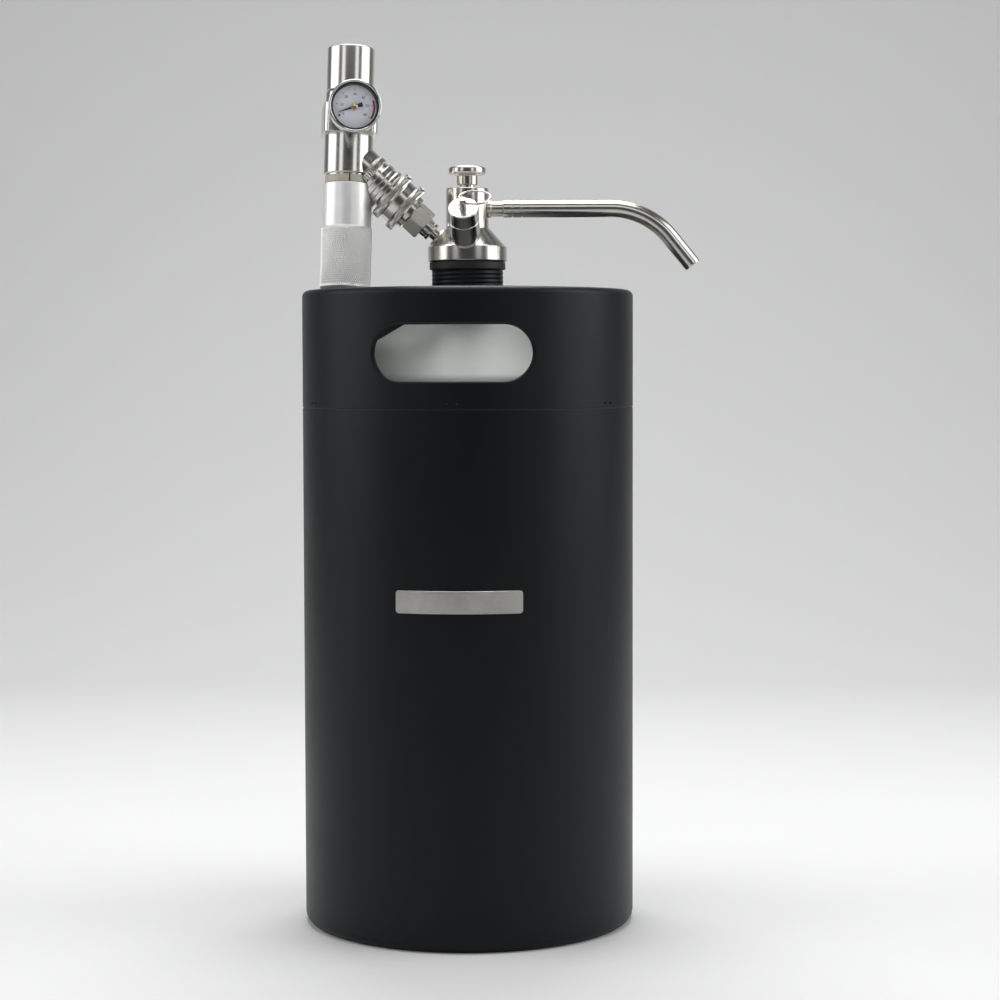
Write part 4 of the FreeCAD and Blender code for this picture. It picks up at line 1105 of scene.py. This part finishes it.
def outlet():
    collar = turned("swivel_ring", [
        (7.55, 57.5, 0), (11.9, 57.5, 0.3), (11.9, 59.6, 0.3), (10.9, 60.0, 0.4),
        (10.9, 62.4, 0.4), (11.5, 62.6, 0.25), (11.5, 65.6, 0.3), (1.5, 65.6, 0), (1.5, 61.5, 0),
        (7.55, 61.5, 0),
    ], POST, "regulator", NICKEL, ["swivel_collar"], segments=128)
    trimmed(collar, regulator_cutters())
    ribs = 48

    def ribbed(angle, radius, height):
        return radius - 0.28 * (0.5 - 0.5 * math.cos(angle * ribs)) ** 2

    boss = turned("ribbed_ring", [
        (1.5, 65.6, 0), (10.5, 65.6, 0.2), (10.5, 68.0, 0.3), (11.2, 68.2, 0.1),
        (11.4, 68.45, 0, ribbed), (11.4, 69.4, 0, ribbed), (11.4, 70.4, 0, ribbed),
        (11.4, 71.35, 0, ribbed), (11.2, 71.6, 0.1), (10.4, 71.75, 0.2), (10.4, 72.4, 0.2),
        (11.0, 72.5, 0.2), (11.0, 85.0, 0), (1.5, 85.0, 0),
    ], POST, "regulator", NICKEL, ["regulator_outlet"], segments=384)
    trimmed(boss, regulator_cutters())


def regulator_block():
    """The block, its barrel and the nose that the holder screws on to, in one turning."""
    corner = 3.5

    def squared(angle, radius, height):
        x = abs(math.cos(angle))
        y = abs(math.sin(angle))
        flat = radius - corner
        reach = radius / max(x, y)
        if min(x, y) * reach <= flat:
            return reach
        middle = flat * (x + y)
        return middle + math.sqrt(middle * middle - 2 * flat * flat + corner * corner)

    turned("regulator_block", [
        (0, 83.8, 0), (9.0, 83.8, 0), (9.0, 104.3, 0.1), (12.7, 104.3, 0.5), (12.7, 100.0, 0),
        (12.7, 97.1, 0.3), (13.3, 97.1, 0, squared), (14.0, 97.1, 0.6, squared),
        (14.0, 90.0, 0, squared), (14.0, 81.8, 0.6, squared), (13.3, 81.8, 0, squared),
        (12.8, 81.8, 0.3), (12.8, 72.0, 0), (12.8, 61.0, 0.6), (11.6, 60.9, 0.2), (11.6, 60.2, 0),
        (10.4, 60.2, 0), (10.4, 45.5, 0.3), (9.3, 45.5, 0), (9.3, 59.0, 0), (4.7, 60.0, 0),
        (4.7, 69.0, 0), (0, 69.0, 0),
    ], REGULATOR, "regulator", NICKEL, ["regulator_body"], segments=320, closed=False)
    ring = turned(
        "spacer_ring",
        [(10.45, 56.2, 0.1), (12.1, 56.2, 0.5), (12.1, 60.2, 0.5), (10.45, 60.2, 0.1)],
        REGULATOR, "regulator", BEIGE, ["split_ring"], segments=128,
    )
    slit = ((-0.5, -16), (0.5, -16), (0.5, -8), (-0.5, -8))
    vertices = [(x, y, z) for z in (54.2, 62.2) for x, y in slit]
    faces = band(range(4), range(4, 8)) + [(0, 1, 2, 3), (4, 5, 6, 7)]
    trimmed(ring, [blank("slit", vertices, faces, REGULATOR)])


def pressure_knob():
    turned("pressure_knob", [
        (0, 96.3, 0), (2.5, 96.3, 0.3), (2.5, 104.9, 0), (11.7, 104.9, 0.2), (12.35, 105.4, 0.5),
        (12.35, 116.0, 0), (12.35, 128.2, 0.85), (9.0, 128.2, 0.2), (8.7, 128.0, 0.2),
        (0, 128.0, 0),
    ], REGULATOR, "pressure_knob", NICKEL, ["adjust_knob"], segments=192)


def cartridge_holder():
    turned("holder_grip", [
        (0, 0.35, 0), (8.4, 0.35, 0.2), (9.0, 0.0, 0.3), (12.2, 0.0, 0.5), (13.15, 1.1, 0.5),
        (13.35, 1.5, 0), ("knurl", 32.5, 26, 0.38), (13.25, 32.7, 0), (12.9, 33.4, 0.3),
        (12.9, 44.0, 0), (12.9, 56.0, 0.5), (10.45, 56.0, 0.2), (10.45, 44.0, 0), (9.35, 44.0, 0),
        (9.35, 5.0, 0), (5.0, 2.0, 0), (0, 2.0, 0),
    ], REGULATOR, "holder", GRIP, ["cartridge_holder"], segments=68, closed=False)


# ---- Gauge -------------------------------------------------------------------------------


def gauge():
    def hexagon(angle, radius, height):
        return min(radius / math.cos(angle % (math.pi / 3) - math.pi / 6), 5.5)

    turned("gauge_nut", [
        (1.0, 10.0, 0), (3.95, 10.0, 0), (3.95, 14.0, 0), (4.9, 14.1, 0, hexagon),
        (4.9, 19.0, 0, hexagon), (4.6, 19.6, 0.2), (3.6, 20.2, 0.3), (3.6, 24.4, 0),
        (1.0, 24.4, 0),
    ], GAUGE, "regulator", NICKEL, ["gauge_stem"], segments=144)
    turned("gauge_cup", [
        (0, 24.4, 0), (12.85, 24.4, 1.6), (12.85, 31.8, 0), (11.5, 31.8, 0), (11.5, 25.6, 0),
        (0, 25.6, 0),
    ], GAUGE, "regulator", CHROME, ["gauge_case"], segments=160, closed=False)
    turned("gauge_rim", [
        (11.5, 31.8, 0), (13.75, 31.8, 0.5), (13.75, 33.6, 0), (13.75, 36.0, 1.3),
        (12.45, 36.0, 0.5), (12.3, 34.9, 0.1), (11.6, 34.9, 0), (11.5, 34.0, 0),
    ], GAUGE, "regulator", CHROME, ["gauge_bezel"], segments=192)
    turned("gauge_glass", [(0, 34.1, 0), (11.4, 34.1, 0.1), (11.4, 34.9, 0.15), (0, 34.9, 0)],
        GAUGE, "regulator", WINDOW, ["gauge_lens"], segments=128, closed=False)
    turned("dial_plate", [
        (0.6, 31.0, 0), (11.4, 31.0, 0), (11.4, 31.6, 0.1), (10.9, 31.6, 0), (5.0, 31.6, 0),
        (0.6, 31.6, 0),
    ], GAUGE, "regulator", DIAL, ["gauge_dial"], segments=128)
    # Painted shade: a black ring in the rubber finish inside the bezel darkens its inner bevel.
    turned("painted_bezel_shade", [
        (11.45, 31.65, 0), (12.4, 34.85, 0), (12.25, 35.3, 0.2), (11.42, 35.3, 0.2),
        (11.35, 31.65, 0),
    ], GAUGE, "regulator", RUBBER, segments=160)
    dial_print()
    needle()


DIAL_FACE = 31.6
INK_DEPTH = 0.03
FIRST_MARK = 213.0
LAST_MARK = -33.0
MARKS = 12


def arc_strip(inner, outer, start, end, steps, low, high):
    """A flat curved bar on the dial: its vertices and faces."""
    vertices = []
    faces = []
    for step in range(steps + 1):
        angle = math.radians(start + (end - start) * step / steps)
        for radius, height in ((inner, low), (outer, low), (outer, high), (inner, high)):
            vertices.append((radius * math.cos(angle), radius * math.sin(angle), height))
    sections = [range(4 * step, 4 * step + 4) for step in range(steps + 1)]
    for near, far in zip(sections, sections[1:]):
        faces += band(near, far)
    faces += [tuple(sections[0]), tuple(sections[-1])]
    return vertices, faces


def dial_print():
    """Plain marks, round numbers, a red arc and the pin that stops the needle."""
    low = DIAL_FACE - 0.02
    high = DIAL_FACE + INK_DEPTH
    vertices = []
    faces = []
    for mark in range(MARKS + 1):
        angle = FIRST_MARK + (LAST_MARK - FIRST_MARK) * mark / MARKS
        long_mark = mark % 2 == 0
        inner = 8.5 if long_mark else 9.0
        half = math.degrees((0.13 if long_mark else 0.08) / 10)
        more, plates = arc_strip(inner, 9.6, angle - half, angle + half, 1, low, high)
        first = len(vertices)
        vertices += more
        faces += [tuple(first + corner for corner in plate) for plate in plates]
    finish_mesh("dial_marks", vertices, faces, GAUGE, "regulator", INK)
    for mark, number in enumerate(("0", "10", "20", "30", "40", "50", "60")):
        angle = math.radians(FIRST_MARK + (LAST_MARK - FIRST_MARK) * mark / 6)
        numeral(number, 6.7 * math.cos(angle), 6.7 * math.sin(angle))
    vertices, faces = arc_strip(9.75, 10.75, 22, -33, 40, low, high)
    finish_mesh("dial_red_arc", vertices, faces, GAUGE, "regulator", RED)
    turned("zero_pin", [(0, 31.55, 0), (0.5, 31.55, 0), (0.5, 32.3, 0.15), (0, 32.3, 0)],
        moved(GAUGE, -7.7, -4.5, 0), "regulator", INK, segments=32, closed=False)


def numeral(text, x, y):
    """One printed number, centred on a spot of the dial."""
    curve = bpy.data.curves.new("numeral_" + text, "FONT")
    curve.body = text
    curve.size = 1.9
    curve.align_x = "CENTER"
    curve.align_y = "CENTER"
    curve.extrude = 0.02
    curve.resolution_u = 4
    written = linked("numeral_" + text, curve)
    seen = bpy.context.evaluated_depsgraph_get()
    seen.update()
    mesh = bpy.data.meshes.new_from_object(written.evaluated_get(seen))
    bpy.data.objects.remove(written)
    vertices = [(v.co.x + x, v.co.y + y, v.co.z + DIAL_FACE + 0.01) for v in mesh.vertices]
    faces = [tuple(face.vertices) for face in mesh.polygons]
    finish_mesh("dial_number_" + text, vertices, faces, GAUGE, "regulator", INK)


def needle():
    """The pointer: a slim blade that widens to its tail, on a brass hub."""
    rest = math.radians(200)
    low = 32.35
    high = 32.6
    outline = [(9.0, 0.0), (8.0, 0.18), (1.5, 0.5), (-1.5, 0.6), (-2.4, 0.95), (-4.3, 1.15)]
    points = outline + [(x, -y) for x, y in reversed(outline[1:])]
    vertices = []
    for height in (low, high):
        for x, y in points:
            across = x * math.cos(rest) - y * math.sin(rest)
            up = x * math.sin(rest) + y * math.cos(rest)
            vertices.append((across, up, height))
    back = range(len(points))
    front = range(len(points), 2 * len(points))
    faces = [tuple(back), tuple(front)] + band(back, front)
    finish_mesh("needle_blade", vertices, faces, GAUGE, "needle", INK, ["gauge_needle"])
    turned("needle_hub", [
        (0, 31.1, 0), (0.5, 31.1, 0), (0.5, 32.2, 0), (1.8, 32.2, 0.1), (1.8, 33.0, 0.45),
        (0, 33.1, 0),
    ], GAUGE, "needle", BRASS, segments=64, closed=False)


def valve_stem():
    """The relief valve's stem, with the hole that the ring goes through."""
    stem = turned("relief_poppet", [
        (0, 25.4, 0), (4.6, 25.4, 0.2), (4.6, 27.4, 0.2), (1.8, 27.4, 0.2), (1.8, 48.0, 0.5),
        (0, 48.0, 0),
    ], RELIEF, "relief_valve", NICKEL, ["relief_stem"], segments=64, closed=False)
    eye = axis_frame(joint_spot("ring_swing"), joint_axis("ring_swing"))
    trimmed(stem, [bar("eye_hole", 1.1, -5, 5, eye)])


# The inner pieces that keep their CAD shapes.
HIDDEN = {
    "inner_vessel": SATIN,
    "tap_seal": RUBBER,
    "dip_tube": POLISHED,
    "valve_plunger": POLISHED,
    "valve_washer": RUBBER,
    "post_plug": POLISHED,
    "locking_balls": POLISHED,
    "disconnect_seal": RUBBER,
    "pierce_pin": POLISHED,
    "diaphragm": RUBBER,
    "spring_plate": POLISHED,
    "gas_cartridge": SATIN,
}


SPRING_WIRE = 0.45


def coil_spring(name, node, radius, low, high, turns, place, body):
    """A wound spring with flat end turns."""
    steps = 28
    flat_end = 0.4
    path = []
    for index in range(turns * steps + 1):
        turn = index / steps
        rise = min(max((turn - flat_end) / (turns - 2 * flat_end), 0.0), 1.0)
        angle = TAU * turn
        level = low + (high - low) * rise
        path.append((radius * math.cos(angle), radius * math.sin(angle), level))
    spring = tube(name, path, SPRING_WIRE, place, body, WIRE, [node], sides=10)
    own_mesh(spring)


def springs():
    coil_spring(
        "valve_coil", "valve_spring", 4.8, 370.5, 379.5, 6, WORLD_MM, "tap_head"
    )
    coil_spring(
        "relief_coil", "relief_spring", 3.4, 28.0, 39.4, 7, RELIEF, "tap_head",
    )
    coil_spring(
        "range_coil", "range_spring", 6.4, 85.5, 99.6, 7, REGULATOR, "regulator"
    )


def dress_inside():
    """Gives the inner CAD nodes a finish."""
    for name, finish in HIDDEN.items():
        node = frame["nodes"][name]
        node.data.materials.clear()
        node.data.materials.append(finish[0])


# ---- Studio ------------------------------------------------------------------------------

CAMERA_SPOT = Vector((0.0169, -1.300, 0.2948))
CAMERA_PITCH = 3.123
CAMERA_ROLL = -0.151
CAMERA_LENS = 88.0


def flat_material(name, color, roughness, grain):
    shader = Shader(name, color, roughness)
    cloud = shader.noise(shader.coordinates(), grain, 3)
    shader.roughness(cloud, roughness - 0.05, roughness + 0.05)
    return shader.material


def backdrop():
    """A pale floor that curves up into a mid grey wall behind."""
    width = 6.0
    depth = 1.6
    bend = 0.7
    rows = [(-3.0, 0.0), (0.6, 0.0)]
    for step in range(1, 25):
        angle = math.pi / 2 * step / 24
        rows.append((depth - bend + bend * math.sin(angle), bend - bend * math.cos(angle)))
    rows.append((depth, 3.5))
    vertices = []
    faces = []
    for y, z in rows:
        vertices += [(-width, y, z), (width, y, z)]
    for row in range(len(rows) - 1):
        first = row * 2
        faces.append((first, first + 1, first + 3, first + 2))
    mesh = bpy.data.meshes.new("studio_sweep")
    mesh.from_pydata(vertices, [], faces)
    mesh.shade_smooth()
    mesh.materials.append(flat_material("sweep_paper", (0.80, 0.80, 0.80), 0.8, 3))
    linked("studio_sweep", mesh)


def softbox(name, spot, aim, size, power):
    lamp = bpy.data.lights.new(name, "AREA")
    lamp.shape = "RECTANGLE"
    lamp.size, lamp.size_y = size
    lamp.energy = power
    made = linked(name, lamp)
    made.location = spot
    made.rotation_euler = (Vector(aim) - Vector(spot)).to_track_quat("-Z", "Y").to_euler()


def studio():
    backdrop()
    softbox("left_box", (-1.35, -0.15, 0.87), (0, 0, 0.35), (1.2, 1.3), 10)
    softbox("right_box", (1.35, -0.15, 0.87), (0, 0, 0.35), (1.2, 1.3), 12.5)
    softbox("left_front", (-1.0, -1.5, 0.9), (0, 0, 0.35), (0.5, 0.9), 2.0)
    softbox("right_front", (1.0, -1.5, 0.9), (0, 0, 0.35), (0.5, 0.9), 2.0)
    softbox("top_strip", (0.0, 0.62, 1.35), (0, -0.05, 0.33), (0.8, 0.4), 9)
    softbox("top_box", (0.0, -0.05, 1.45), (0, -0.05, 0.3), (0.9, 0.7), 8)
    softbox("front_box", (0.0, -1.7, 1.5), (0, 0, 0.35), (1.6, 0.6), 3.5)
    world = bpy.data.worlds.new("studio_air")
    world.use_nodes = True
    world.node_tree.nodes["Background"].inputs["Color"].default_value = (0.5, 0.52, 0.55, 1)
    world.node_tree.nodes["Background"].inputs["Strength"].default_value = 0.08
    bpy.context.scene.world = world
    bpy.context.scene.view_settings.view_transform = "Standard"


def camera():
    lens = bpy.data.cameras.new("camera")
    lens.lens = CAMERA_LENS
    lens.sensor_width = 36
    eye = linked("camera", lens)
    eye.location = CAMERA_SPOT
    tilt = Matrix.Rotation(math.radians(90 - CAMERA_PITCH), 4, "X")
    roll = Matrix.Rotation(math.radians(CAMERA_ROLL), 4, "Z")
    eye.rotation_euler = (tilt @ roll).to_euler()
    bpy.context.scene.camera = eye


for make in (
    keg_shell, seam_shadow_ring, dome, threaded_neck, skirt, collar_wall, blank_badge,
    tap_head, spout, relief_valve, valve_stem, pull_ring, gas_post, quick_disconnect,
    outlet, regulator_block, pressure_knob, cartridge_holder, gauge, springs, dress_inside,
    studio, camera,
):
    make()
